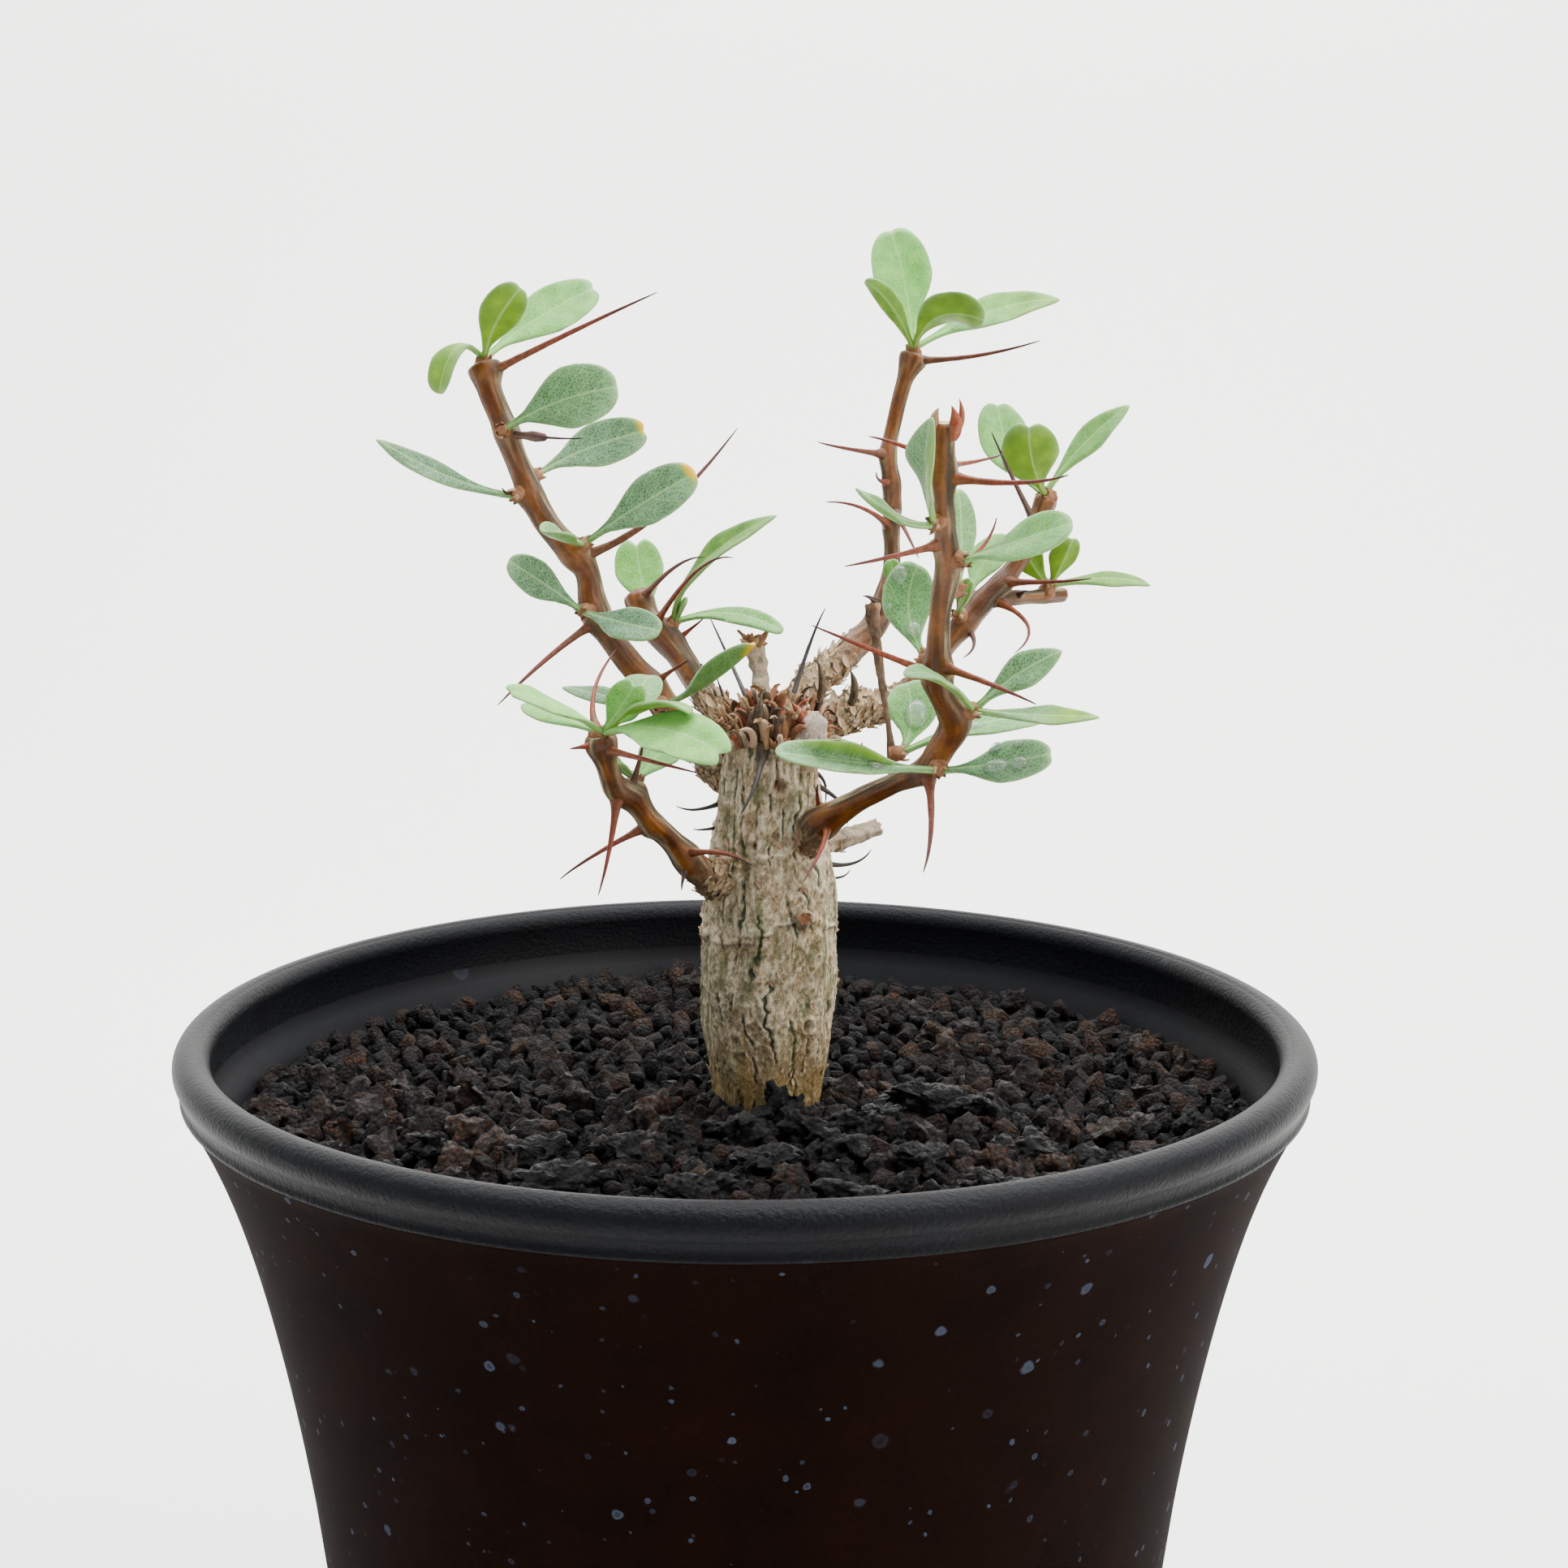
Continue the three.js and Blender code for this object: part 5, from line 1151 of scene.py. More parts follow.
# A path's and a side shoot's points are [x, y, z, radius]. A spine is [near, bend, tip, radius, age].
# old is how many millimetres from the trunk carry old rough bark, and scaly how deep its scales are.
branches = {
    "left_tall": {"old": 17, "scaly": 0.5, "path": [
        [1, 1, 165, 2.8], [-3, 0.5, 168.3, 2.7], [-6, 0, 171.5, 2.3], [-8.5, 0, 174, 2.1],
        [-12.5, -1, 180, 2], [-15, -2, 183, 1.9], [-18, -3, 187.5, 1.8], [-19.5, -3, 190.5, 2],
        [-20.5, -3, 195, 1.7], [-22.5, -3, 197.5, 1.9], [-25.4, -2, 201, 1.8], [-27.6, -1, 205, 1.7],
        [-29.8, 0, 209.8, 1.7], [-31.3, 1, 213.8, 1.7], [-33, 2, 217.8, 1.7], [-34, 3, 221.2, 2.3]],
        "spines": [
            [[-32, 2, 220.4], [-22.5, -2, 225], [-11, -6, 230], 0.7, 0.2],
            [[-31, 0, 212.5], [-24.5, -6, 212], [-20.5, -8, 212], 0.7, 0.75, "broken"],
            [[-20, -3.5, 198.2], [-11.5, -2.5, 202], [-1, 4, 213], 0.75, 0.45],
            [[-20, -4, 187.8], [-24.5, -8, 184.8], [-31, -14, 179], 0.7, 0.35],
            [[-28.5, -1, 204], [-29.8, -2.4, 204.6], [-31, -4, 205.6], 0.5, 0.5],
            [[-11.5, -0.5, 180.5], [-9.5, -2.5, 182], [-7.3, -4, 183.5], 0.5, 0.2]]},
    "left_short": {"old": 16, "scaly": 0.7, "path": [
        [2, 5, 170, 2.4], [-4, 8, 176, 2.1], [-6.5, 10, 179, 2],
        [-9.5, 12, 183, 1.9], [-13, 14, 186.5, 1.9], [-15, 16, 190.5, 2.1]],
        "spines": [
            [[-14, 14, 190], [-9.5, 8, 194.5], [-5.5, 3, 196.3], 0.6, 0.4],
            [[-11.5, 12, 187.5], [-6.5, 3.5, 194.3], [-1.5, -1, 196.5], 0.6, 0.1],
            [[-9.5, 12, 184.5], [-7, 12, 186.2], [-5.5, 12, 187.5], 0.45, 0.2]]},
    "left_low": {"old": 15, "scaly": 0.85, "path": [
        [2, -1, 152, 2.6], [-2, -4, 153.6, 2.5], [-5, -8, 155.9, 2.3], [-7, -11, 158.4, 2],
        [-10, -14, 162.5, 1.6], [-12, -17, 165, 1.5], [-14, -19, 168, 1.7], [-16, -21, 170, 1.6],
        [-16.9, -23, 173, 1.5], [-17.7, -24, 176.8, 1.8]],
        "spines": [
            [[-14, -19, 169], [-13, -20.5, 173], [-12.3, -21, 176.5], 0.55, 0.7],
            [[-16, -21, 169], [-16.5, -23.5, 163], [-17.8, -27, 157.5], 0.7, 0.15],
            [[-12.2, -16.5, 163.5], [-18.5, -19, 161], [-23, -20, 158], 0.6, 0.3],
            [[-7.5, -12, 160], [-2.8, -18.5, 161], [1, -23, 160.3], 0.6, 0.0],
            [[-7, -11.5, 158.5], [-7.8, -14, 157], [-8, -15, 155.5], 0.55, 0.8],
            [[-18, -24, 175.5], [-19.4, -25.2, 175.5], [-21, -27, 175.5], 0.45, 0.0],
            [[-17.5, -24.5, 175], [-11, -31, 174.6], [-5.2, -35, 173.8], 0.6, 0.05],
            [[-18, -24, 176.3], [-18.5, -19.5, 181.5], [-15.6, -13, 186.5], 0.5, 0.0]]},
    "back_tall": {"old": 27, "scaly": 0.85, "path": [
        [5, 3, 170, 2.6], [8, 11, 177, 2.4], [13.5, 18, 181.5, 2.3], [18, 21, 185.5, 2],
        [19.5, 22, 189, 1.7], [20.5, 23, 193.5, 1.4], [20.5, 24, 199, 1.3], [20.5, 24, 204.5, 1.5],
        [20, 24, 209, 1.3], [21, 25, 214.5, 1.2], [22, 25, 218.6, 1.3], [23.4, 26, 222.8, 1.8]],
        "spines": [
            [[24, 25.5, 221.6], [31.5, 22, 222.5], [40, 18, 224.5], 0.6, 0.4],
            [[19.5, 23, 209], [14, 18, 210], [9.8, 14, 211], 0.6, 0.3],
            [[20, 22.5, 199], [16, 17, 202], [11, 13, 203], 0.6, 0.1],
            [[21, 23.5, 201.5], [22, 19, 199], [23.5, 13, 195.5], 0.55, 0.3],
            [[20, 23, 205], [18.6, 20.6, 205.6], [18, 18.5, 206.8], 0.45, 0.2],
            [[19.2, 21, 188], [17.5, 18, 189.5], [16.2, 16, 190], 0.8, 0.8]]},
    "right": {"old": 25, "scaly": 1.0, "path": [
        [6, 2, 168, 2.8], [10, 6, 173, 2.8], [14.5, 9, 175, 2.7], [18.5, 11, 175.5, 2.4],
        [23.5, 13, 178.5, 1.8], [28, 15, 184, 1.7], [32.5, 16, 189, 1.8], [37, 17, 194, 1.5],
        [40, 18, 199.5, 1.5], [41.5, 18, 203.5, 1.8]],
        "shoots": [[[33.5, 16, 189.7, 1.3], [39.5, 20, 189.5, 1.15], [45, 24, 189.5, 1.25]]],
        "spines": [
            [[39.5, 17, 200], [35.6, 9.5, 206.5], [32.3, 5, 212.5], 0.65, 0.75],
            [[36, 15.5, 191.5], [41.5, 10, 192.5], [46, 6, 193.3], 0.65, 0.2],
            [[37.5, 18.5, 189.6], [38.2, 16, 190.6], [38.6, 14, 190.8], 0.45, 0.6],
            [[34.5, 15, 189], [38.3, 11.5, 186.5], [36.1, 7, 183.2], 0.55, 0.0],
            [[30.5, 15, 186], [31.2, 12.5, 184], [29.6, 10.5, 182.2], 0.5, 0.7]]},
    "front": {"old": 9, "scaly": 0.4, "path": [
        [6, -2, 157, 2.6], [9.5, -8, 162.5, 2.3], [14.5, -14, 167, 1.7], [18.5, -19, 170, 1.5],
        [22, -24, 172.5, 1.7], [23.5, -27, 175.5, 1.8], [25, -29, 179, 2], [23, -32, 183.5, 1.8],
        [22.5, -34, 187.5, 1.6], [22.5, -36, 193, 1.4], [23, -38, 198, 1.5], [22.5, -40, 203.5, 1.3],
        [22, -42, 209, 1.4], [22, -43, 214.5, 1.7]],
        "shoots": [[[18.2, -19, 170.5, 0.6], [17.8, -20, 176, 0.55], [16.6, -18.5, 184, 0.7],
                    [15.5, -17, 192, 1.1]]],
        "spines": [
            [[22.5, -25, 171.5], [22.3, -29.5, 166.5], [21, -35, 162], 0.75, 0.3],
            [[22, -33.5, 184.5], [15, -38, 188.5], [7.5, -43, 192], 0.65, 0.0],
            [[23, -33.5, 186.5], [27.8, -42, 185.2], [32, -50, 184], 0.65, 0.05],
            [[22.5, -42.5, 208.5], [29.5, -46, 208], [35, -50, 209], 0.65, 0.05],
            [[22.3, -41, 210], [26, -37, 210], [29.5, -34, 210.7], 0.5, 0.05],
            [[22, -40, 200.5], [16.5, -44, 199.8], [11, -48, 199], 0.6, 0.15],
            [[21.5, -43, 210], [17.3, -43, 212], [13.7, -44, 213], 0.55, 0.0],
            [[24, -37, 197.5], [27, -36, 200], [29, -34, 203.5], 0.5, 0.0],
            [[10.5, -9.5, 163], [10, -14, 161.5], [7.3, -21, 158], 0.6, 0.0],
            [[9.5, -8.5, 164], [9.3, -10, 166.5], [9.3, -11.5, 168.5], 0.5, 0.05]],
        # [root, bend, tip, width, tone] of the bud scales at the cut: red ones and a pale one
        "tipScales": [
            [[22.6, -44.0, 212.6], [23.2, -45.0, 214.4], [22.7, -45.0, 216.4], 1.7, 1.0],
            [[23.3, -43.6, 213.4], [23.9, -44.2, 215.2], [23.6, -44.0, 217.2], 0.9, 1.0],
            [[21.2, -43.6, 213.2], [20.9, -44.0, 214.8], [21.4, -43.9, 216.2], 1.3, 0.62]]},
}


# Leaf tufts, each from one bud. A leaf is [middle of its rib, tip, width, the way its upper side
# looks, fold, notch, youth, glow]: youth makes it mint and glow yellow green, as with light behind.
tufts = {
    "leaves_left_tall_top": ["left_tall", [-33, 2, 224.4], [
        [[-31.6, -1, 226.7], [-28.2, -3, 230.8], 5.4, [-0.2, 0.9, 0.2], 0.2, 0.5, 0.3, 1.0],
        [[-27.6, 8, 226.8], [-19.6, 12, 231.3], 6.8, [0.1, -0.8, 0.5], 0.15, 0.9, 0.85, 0.05],
        [[-36.7, 0, 223.2], [-38.9, -2, 217.4], 5, [-0.5, -0.6, 0.7], 0.4, 0.2, 0.3, 0.85]]],
    "leaf_left_tall_a": ["left_tall", [-31, -1.5, 212.8], [
        [[-23.8, -3, 216.4], [-16.1, -3, 218.3], 8.2, [0.1, -0.95, 0.3], 0.12, 0.4, 0.1, 0.08]]],
    "leaf_left_tall_b": ["left_tall", [-27, 1.5, 207], [
        [[-21.4, 6, 210], [-13, 9, 212.6], 6, [0.1, -0.92, 0.2], 0.15, 0.8, 0.0, 0.0, {"ripe": 0.8}]]],
    "leaf_left_tall_c": ["left_tall", [-29.4, -2.3, 204.6], [
        [[-37.4, -6, 206.9], [-46, -10, 211.9], 3.4, [0.2, -0.8, 0.6], 0.1, 0.2, 0.0, 0.0,
         {"blunt": 1.35}]]],
    "leaves_left_tall_d": ["left_tall", [-19.6, -4.8, 199.4], [
        [[-13.2, -6.6, 203.5], [-6.1, -8, 207.6], 6.9, [-0.3, -0.9, 0.4], 0.12, 0.3, 0.02, 0.1,
         {"ripe": 1.0}],
        [[-22.8, -8.4, 199.4], [-25.4, -12, 200.7], 4, [0, -0.5, 0.85], 0.6, 0.2, 0.3, 0.2]]],
    "leaves_left_tall_e": ["left_tall", [-20.8, -5.5, 189.9], [
        [[-25.4, -8, 193.6], [-29.7, -11, 196.8], 4.7, [0.2, -0.9, 0.3], 0.15, 0.4, 0.0, 0.0],
        [[-15.6, -11, 189], [-10.4, -15, 188.4], 5, [0, -0.85, 0.5], 0.2, 0.5, 0.0, 0.0]]],
    "leaf_left_tall_f": ["left_tall", [-11, 2, 176.5], [
        [[-17.5, 3.6, 177.5], [-24.5, 6, 178.7], 3.4, [0, -0.5, 0.85], 0.2, 0.1, 0.0, 0.0,
         {"blunt": 1.35}]]],
    "leaf_left_tall_g": ["left_tall", [-11, -4, 177.4], [
        [[-4.9, -9, 181.2], [1.2, -14, 186.6], 4.6, [-0.4, 0.3, 0.85], 0.7, 0.1, 0.0, 0.35,
         {"ripe": 1.2, "ripeFrom": 0.8}]]],
    "leaf_left_short_back": ["left_short", [-12.5, 17, 187], [
        [[-14.4, 20.5, 192.2], [-15.2, 22.5, 197.6], 6.8, [0, -0.9, 0.3], 0.1, 1.2, 0.8, 0.1]]],
    "leaves_left_short_side": ["left_short", [-9.6, 12.5, 187], [
        [[-6.2, 8.6, 194.3], [4.2, 4, 201.7], 4.5, [-0.6, -0.5, 0.6], 0.4, 0.2, 0.4, 0.55,
         {"blunt": 1.35}],
        [[-2.2, 11, 188.0], [5.1, 8, 185.9], 3.1, [0, -0.7, 0.7], 0.15, 0.3, 0.6, 0.05],
        [[-8.6, 11.4, 188.8], [-7.8, 10.2, 190.2], 1.8, [-0.5, -0.5, 0.6], 0.3, 0.1, 0.4, 0.6]]],
    "leaves_left_low_top": ["left_low", [-15.2, -26.3, 178.4], [
        [[-21.7, -32, 181.1], [-27.4, -38, 183.8], 5.2, [0.1, -0.5, 0.85], 0.1, 1, 1.0, 0.1],
        [[-22.4, -21.5, 178.5], [-27.3, -16, 179.6], 4, [0, -0.6, 0.8], 0.15, 0.3, 0.8, 0.1],
        [[-14.2, -28, 181.6], [-12.9, -29, 184.1], 4.6, [0, -0.95, 0.2], 0.2, 1.1, 0.9, 0.15],
        [[-13.4, -20, 181], [-12, -15, 182.9], 5, [0, -0.8, 0.6], 0.15, 0.5, 0.35, 0.1],
        [[-11, -30, 181.2], [-6.4, -34.5, 180.8], 4, [0, 0.25, 0.95], 0.2, 0.2, 0.4, 0.85],
        [[-9.2, -33.5, 178.6], [-2.1, -38.5, 176], 7.2, [0.1, -0.75, 0.65], 0.1, 1.3, 1.0, 0.12],
        [[-10, -19.6, 177.4], [-4.9, -14.5, 177.4], 4.4, [0, -0.3, 0.95], 0.15, 0.6, 0.7, 0.1]]],
    "leaves_left_low_side": ["left_low", [-13.9, -18.7, 169.0], [
        [[-15.4, -17.8, 172], [-16.9, -18.5, 174.8], 2.6, [-0.7, -0.3, 0.5], 0.5, 0.1, 0.3, 0.4],
        [[-11.6, -14, 171.7], [-9.1, -9.6, 174], 5.4, [-0.2, -0.9, 0.4], 0.15, 0.4, 0.75, 0.1]]],
    "leaves_back_tall_top": ["back_tall", [23.3, 25.5, 226], [
        [[22.4, 30, 232.2], [20.4, 33, 240.2], 8.3, [0, -0.95, 0.3], 0.12, 0.7, 0.95, 0.0],
        [[20, 21.5, 229.3], [16.3, 20, 232.6], 2.8, [-0.3, 0.6, 0.7], 0.4, 0.1, 0.4, 0.75],
        [[26.4, 20, 228], [32.2, 16, 227.2], 6.2, [-0.1, 0.8, 0.6], 0.25, 0.2, 0.4, 0.95],
        [[33.5, 27.5, 228.3], [43.7, 26.5, 230.2], 6, [0, -0.7, 0.7], 0.15, 0.1, 0.85, 0.0,
         {"blunt": 1.35, "tipGlow": 0.6}]]],
    "leaf_back_tall_low": ["back_tall", [20.4, 20, 190.6], [
        [[20.4, 18.7, 192.8], [20, 17.8, 195], 2.6, [0, -1, 0.2], 0.2, 0.4, 0.8, 0.3]]],
    "leaves_right_top": ["right", [39.8, 16.2, 204.6], [
        [[38.4, 11.5, 208.8], [37.7, 9, 213.8], 7.8, [0, 0.95, 0.3], 0.1, 1, 0.3, 1.0],
        [[36.9, 23, 209], [35.4, 28, 216.2], 7.1, [0.1, -0.9, 0.3], 0.12, 0.9, 0.8, 0.1],
        [[45.6, 18.5, 209.6], [52.4, 18, 215.9], 4.6, [-0.4, -0.7, 0.5], 0.2, 0.2, 0.55, 0.3,
         {"blunt": 1.35}]]],
    "leaf_right_back": ["right", [30.6, 18.5, 190], [
        [[33.5, 24, 193.9], [37.5, 28, 197.2], 5, [-0.1, -0.8, 0.5], 0.15, 0.4, 0.8, 0.2]]],
    "leaves_right_shoot": ["right", [42.5, 20.5, 191.5], [
        [[39.6, 19.6, 194.4], [38.4, 20.6, 197.6], 4, [-0.1, 0.9, 0.3], 0.2, 0.6, 0.3, 0.95],
        [[43.8, 18, 195], [44.8, 16.4, 198], 4.2, [-0.3, 0.9, 0.2], 0.25, 0.5, 0.3, 1.0],
        [[49.6, 20, 192], [56.1, 19, 191.2], 3.2, [0, -0.6, 0.8], 0.2, 0.1, 0.6, 0.6, {"blunt": 1.35}]]],
    "leaf_right_bud": ["right", [28.6, 13, 188.4], [
        [[29.5, 10.6, 190.8], [30.5, 9, 192.8], 2.6, [-0.5, -0.8, 0.3], 0.3, 0.2, 0.3, 0.8]]],
    "leaves_front_high": ["front", [20.6, -42, 203], [
        [[19.9, -48, 209], [20, -52, 215.2], 6.2, [-0.75, -0.55, 0.2], 0.35, 0.1, 0.1, 0.1,
         {"halfGlow": 1.0, "blunt": 1.4}],
        [[16.7, -46, 204.1], [12, -50, 207.6], 3.4, [0.2, -0.4, 0.9], 0.4, 0.1, 0.3, 0.3,
         {"blunt": 1.35}]]],
    "leaf_front_behind": ["front", [24.8, -35.5, 195.5], [
        [[25.1, -31, 201.4], [24.8, -28.5, 206.6], 4.2, [0.5, -0.8, 0.2], 0.15, 0.3, 0.3, 0.1]]],
    "leaf_front_right": ["front", [24.8, -40, 199], [
        [[29.8, -46, 201.3], [35.6, -50, 203.7], 6.2, [-0.1, -0.7, 0.7], 0.12, 0.3, 0.6, 0.0]]],
    "leaf_front_wet": ["front", [20.8, -31.5, 187.2], [
        [[19.4, -28, 192.4], [20.6, -27, 197.7], 6.3, [-0.1, -0.95, 0.2], 0.1, 0.4, 0.3, 0.0]]],
    "leaves_front_middle": ["front", [26.6, -30.5, 180.6], [
        [[31.3, -31, 184.3], [37.2, -32, 187.9], 4.8, [-0.3, -0.8, 0.5], 0.15, 0.2, 0.1, 0.05,
         {"blunt": 1.35}],
        [[22.5, -38.5, 185.1], [17.8, -45, 186.6], 4.6, [0.1, -0.5, 0.85], 0.25, 0.2, 0.3, 0.05,
         {"rimGlow": 0.9, "blunt": 1.5}],
        [[33.6, -34, 180.4], [41, -37, 180.7], 4, [0, -0.45, 0.9], 0.3, 0.1, 0.25, 0.1,
         {"tipGlow": 1.0, "blunt": 1.25}]]],
    "leaves_front_low": ["front", [23.5, -29.8, 171.8], [
        [[30.1, -31, 174.2], [36.2, -33, 175.8], 6, [-0.2, -0.7, 0.7], 0.12, 0.6, 0.1, 0.0],
        [[12.6, -34, 174.8], [3.6, -40, 177], 5, [0.3, -0.5, 0.75], 0.4, 0.1, 0.1, 0.05, {"fold": 0.8}]]],
    "leaves_front_root": ["front", [20.6, -20, 174], [
        [[20.7, -17, 177.8], [20.1, -14.5, 182], 6.4, [0, -0.9, 0.3], 0.15, 0.5, 0.45, 0.1],
        [[27.5, -20.5, 177.1], [37, -18, 178.1], 4.4, [0, -0.5, 0.85], 0.15, 0.3, 0.4, 0.0]]],
}


def branchBark():
    # Living bark of a branch: thin glossy orange brown skin. The grey skin of the year before
    # is split along the stem and lies on it in dull papery strips, 0.5 to 2 mm wide.
    material, tree, shader = newMaterial("glossy boojum bark", {"Specular IOR Level": 0.32})
    strip, aged, fibre = (addNode(tree, "ShaderNodeAttribute", {"attribute_name": name}).outputs["Fac"]
                          for name in ("strip", "aged", "fibre"))
    where = inMillimetres(tree)
    speck = addNode(tree, "ShaderNodeTexNoise", {"Scale": 1.9, "Detail": 5.0, "Roughness": 0.7},
                    {"Vector": where})
    drift = addNode(tree, "ShaderNodeTexNoise", {"Scale": 0.19, "Detail": 3.0}, {"Vector": where})
    skin = addNode(tree, "ShaderNodeValToRGB", {"stops": [
        (0.25, "#3c1c05"), (0.45, "#633408"), (0.62, "#7c470e"), (0.8, "#593a12")]}, {"Fac": drift})
    lengthwise = addNode(tree, "ShaderNodeValToRGB", {"stops": [(0.25, 0.72), (0.75, 1.15)]}, {"Fac": fibre})
    brown = addNode(tree, "ShaderNodeMix", multiply, {6: skin, 7: lengthwise}).outputs[2]
    paper = addNode(tree, "ShaderNodeValToRGB", {"stops": [
        (0.2, "#3f3422"), (0.5, "#63553c"), (0.8, "#928264")]}, {"Fac": fibre})
    colour = addNode(tree, "ShaderNodeMix", overlay, {0: strip, 6: brown, 7: paper}).outputs[2]
    rough = addNode(tree, "ShaderNodeValToRGB", {"stops": [
        (0.3, "#2f2317"), (0.42, "#64523b"), (0.55, "#8f7d62"), (0.68, "#beb093")]}, {"Fac": speck})
    colour = addNode(tree, "ShaderNodeMix", overlay, {0: aged, 6: colour, 7: rough}).outputs[2]
    worn = addNode(tree, "ShaderNodeValToRGB", {"stops": [(0.3, 0.62), (0.7, 0.98)]}, {"Fac": speck})
    colour = addNode(tree, "ShaderNodeMix", multiply, {6: colour, 7: worn}).outputs[2]
    dull = addNode(tree, "ShaderNodeMath", {"operation": "MAXIMUM"}, {0: strip, 1: aged})
    gloss = addNode(tree, "ShaderNodeMapRange", {"To Min": 0.36, "To Max": 0.8}, {"Value": dull})
    height = addNode(tree, "ShaderNodeMath", {"operation": "ADD"}, {0: fibre, 1: speck})
    joinSurface(tree, shader, colour, height, 0.12, 0.7, gloss)
    return material


def cutWood():
    # Pruned end: pale dry pith and wood, mottled by its pores.
    material, tree, shader = newMaterial("pruned wood", {"Roughness": 0.75, "Specular IOR Level": 0.3})
    pores = addNode(tree, "ShaderNodeTexNoise", {"Scale": 1.5, "Detail": 5.0}, {"Vector": inMillimetres(tree)})
    wood = addNode(tree, "ShaderNodeValToRGB", {"stops": [
        (0.3, "#5d422b"), (0.5, "#a98660"), (0.7, "#dcc7a4")]}, {"Fac": pores})
    joinSurface(tree, shader, wood, pores, 0.1, 0.7)
    return material


def nearestOn(lines, place):
    # the nearest centre of a branch's lines: the line, the centre's number, the distance
    best = None
    for line in lines:
        away = np.linalg.norm(line["centres"] - np.array(place, float), axis=1)
        index = int(np.argmin(away))
        if best is None or away[index] < best[2]:
            best = (line, index, away[index])
    return best


def branchLines(name):
    lines = []
    for points in [branches[name]["path"], *branches[name].get("shoots", [])]:
        centres, radii, steps = throughPoints(points, branchForm["spacing"])
        _, across, up = ringFrames(centres)
        lines.append({"centres": centres, "radii": radii, "steps": steps, "across": across, "up": up,
                      "nodes": []})
    return lines


def noteNode(lines, near, towards, swell):
    # a swelling where a spine or a bud sits: which ring, which way round, how strong
    line, index, _ = nearestOn(lines, near)
    way = np.array(towards, float) - line["centres"][index]
    angle = math.atan2(np.dot(way, line["up"][index]), np.dot(way, line["across"][index]))
    line["nodes"].append((line["steps"][index], angle, swell))
    return line, index


def barkOf(branch, line, number, dead, shift):
    # the relief and the looks of the bark on one line of a branch
    steps, radii = line["steps"], line["radii"]
    old = branch["old"] if number == 0 else 0

    def relief(ring, angle):
        along, radius = steps[ring], radii[ring]
        place = (math.cos(angle) * radius, math.sin(angle) * radius, along + shift)
        fibre = 0.5 + grain(place, 0.5, 6.0) * 0.8 + grain(place, 0.22, 2.5) * 0.35
        # the brown window looks to the front and the back, the grey strips lie to the sides
        band = abs(math.cos(angle)) + grain(place, 3, 14) * 0.55 + grain(place, 0.7, 5) * 0.3
        strip = 0.95 * float(smoothStep(0.62, 0.84, band))
        lift = strip * branchForm["stripLift"] - branchForm["settle"]
        lift += (fibre - 0.5) * 0.05 + grain(place, 2.5, 5) * 0.12
        for level, turn, swell in line["nodes"]:
            gap = along - level
            if abs(gap) > branchForm["ridgeLength"]:
                continue
            off = (angle - turn + math.pi) % fullTurn - math.pi
            facing = 0.25 + 0.75 * max(0.0, math.cos(off)) ** 2
            lift += branchForm["nodeSwell"] * swell * math.exp(-(gap / 1.5) ** 2) * facing
            if gap < 0:
                ridge = (1 + gap / branchForm["ridgeLength"]) * math.exp(-(off / 0.5) ** 2) * swell
                lift += 0.24 * ridge
                strip = max(strip, min(0.8, ridge * 0.9))
        aged = float(smoothStep(old, old * 0.55, along + grain(place, 2, 4) * 4)) if old else 0.0
        if aged > 0.01:
            cell = noise.voronoi(Vector((place[0] / 1.9, place[1] / 1.9, place[2] / 1.6)))[0]
            knob = cell[1] - cell[0] - 0.3 + grain(place, 0.7, 0.8) * 0.7 + grain(place, 3, 3) * 0.9
            lift += aged * branch["scaly"] * knob
        if dead:
            share = along / steps[-1]
            lift += grain(place, 0.7, 1.2) * 0.5 * share ** 2
            return lift, {"tone": 0.16 + 0.5 * float(smoothStep(0.72, 1.0, share + lift))}
        # the knife rounds the edge of a cut end a little
        lift -= 0.3 * radius * math.exp(-(steps[-1] - along) / 0.25)
        looks = {"strip": strip, "aged": aged, "fibre": min(max(fibre, 0), 1), "tone": 0.5}
        return max(lift, -0.5 * radius), looks

    return relief


def buildBranch(name, finishes):
    branch = branches[name]
    lines = branchLines(name)
    barkSlot, hornSlot, cutSlot, woodSlot = range(4)
    roots = []
    for near, bend, _, radius, *_ in branch["spines"]:
        line, index = noteNode(lines, near, bend, 1.0 if radius > 0.5 else 0.7)
        roots.append(line["centres"][index])
    for on, bud, _ in tufts.values():
        if on == name:
            noteNode(lines, bud, bud, 0.6)
    shift = sum(ord(letter) for letter in name)
    shape = Shape("strip", "aged", "fibre", "along", "tone")
    for number, line in enumerate(lines):
        dead = number == 1 and name == "front"
        sides = branchForm["deadSides" if dead else "sides"]
        bark = barkOf(branch, line, number, dead, shift)
        addTube(shape, line["centres"], line["radii"], sides, bark, woodSlot if dead else barkSlot, cutSlot)
    for root, (_, bend, tip, radius, age, *broken) in zip(roots, branch["spines"]):
        addSpine(shape, root, bend, tip, radius, age, hornSlot, bool(broken))
    for root, bend, tip, width, tone in branch.get("tipScales", []):
        addScale(shape, root, bend, tip, width, branchForm["tipFace"], tone, woodSlot)
    shape.piece(f"stem_{name}", finishes, "branch_bark", [f"branch_{name}"])
    return lines


# Leaves: thin, fleshy, waxy

leafForm = {
    "rows": 26, "columns": 19, "thickness": 0.62, "stalk": 0.42, "notchDepth": 0.75, "widest": 0.62,
    "blunt": 2.3, "budRadius": 1.3, "budRise": 0.55, "budScales": 6, "uvSpan": 20,
}


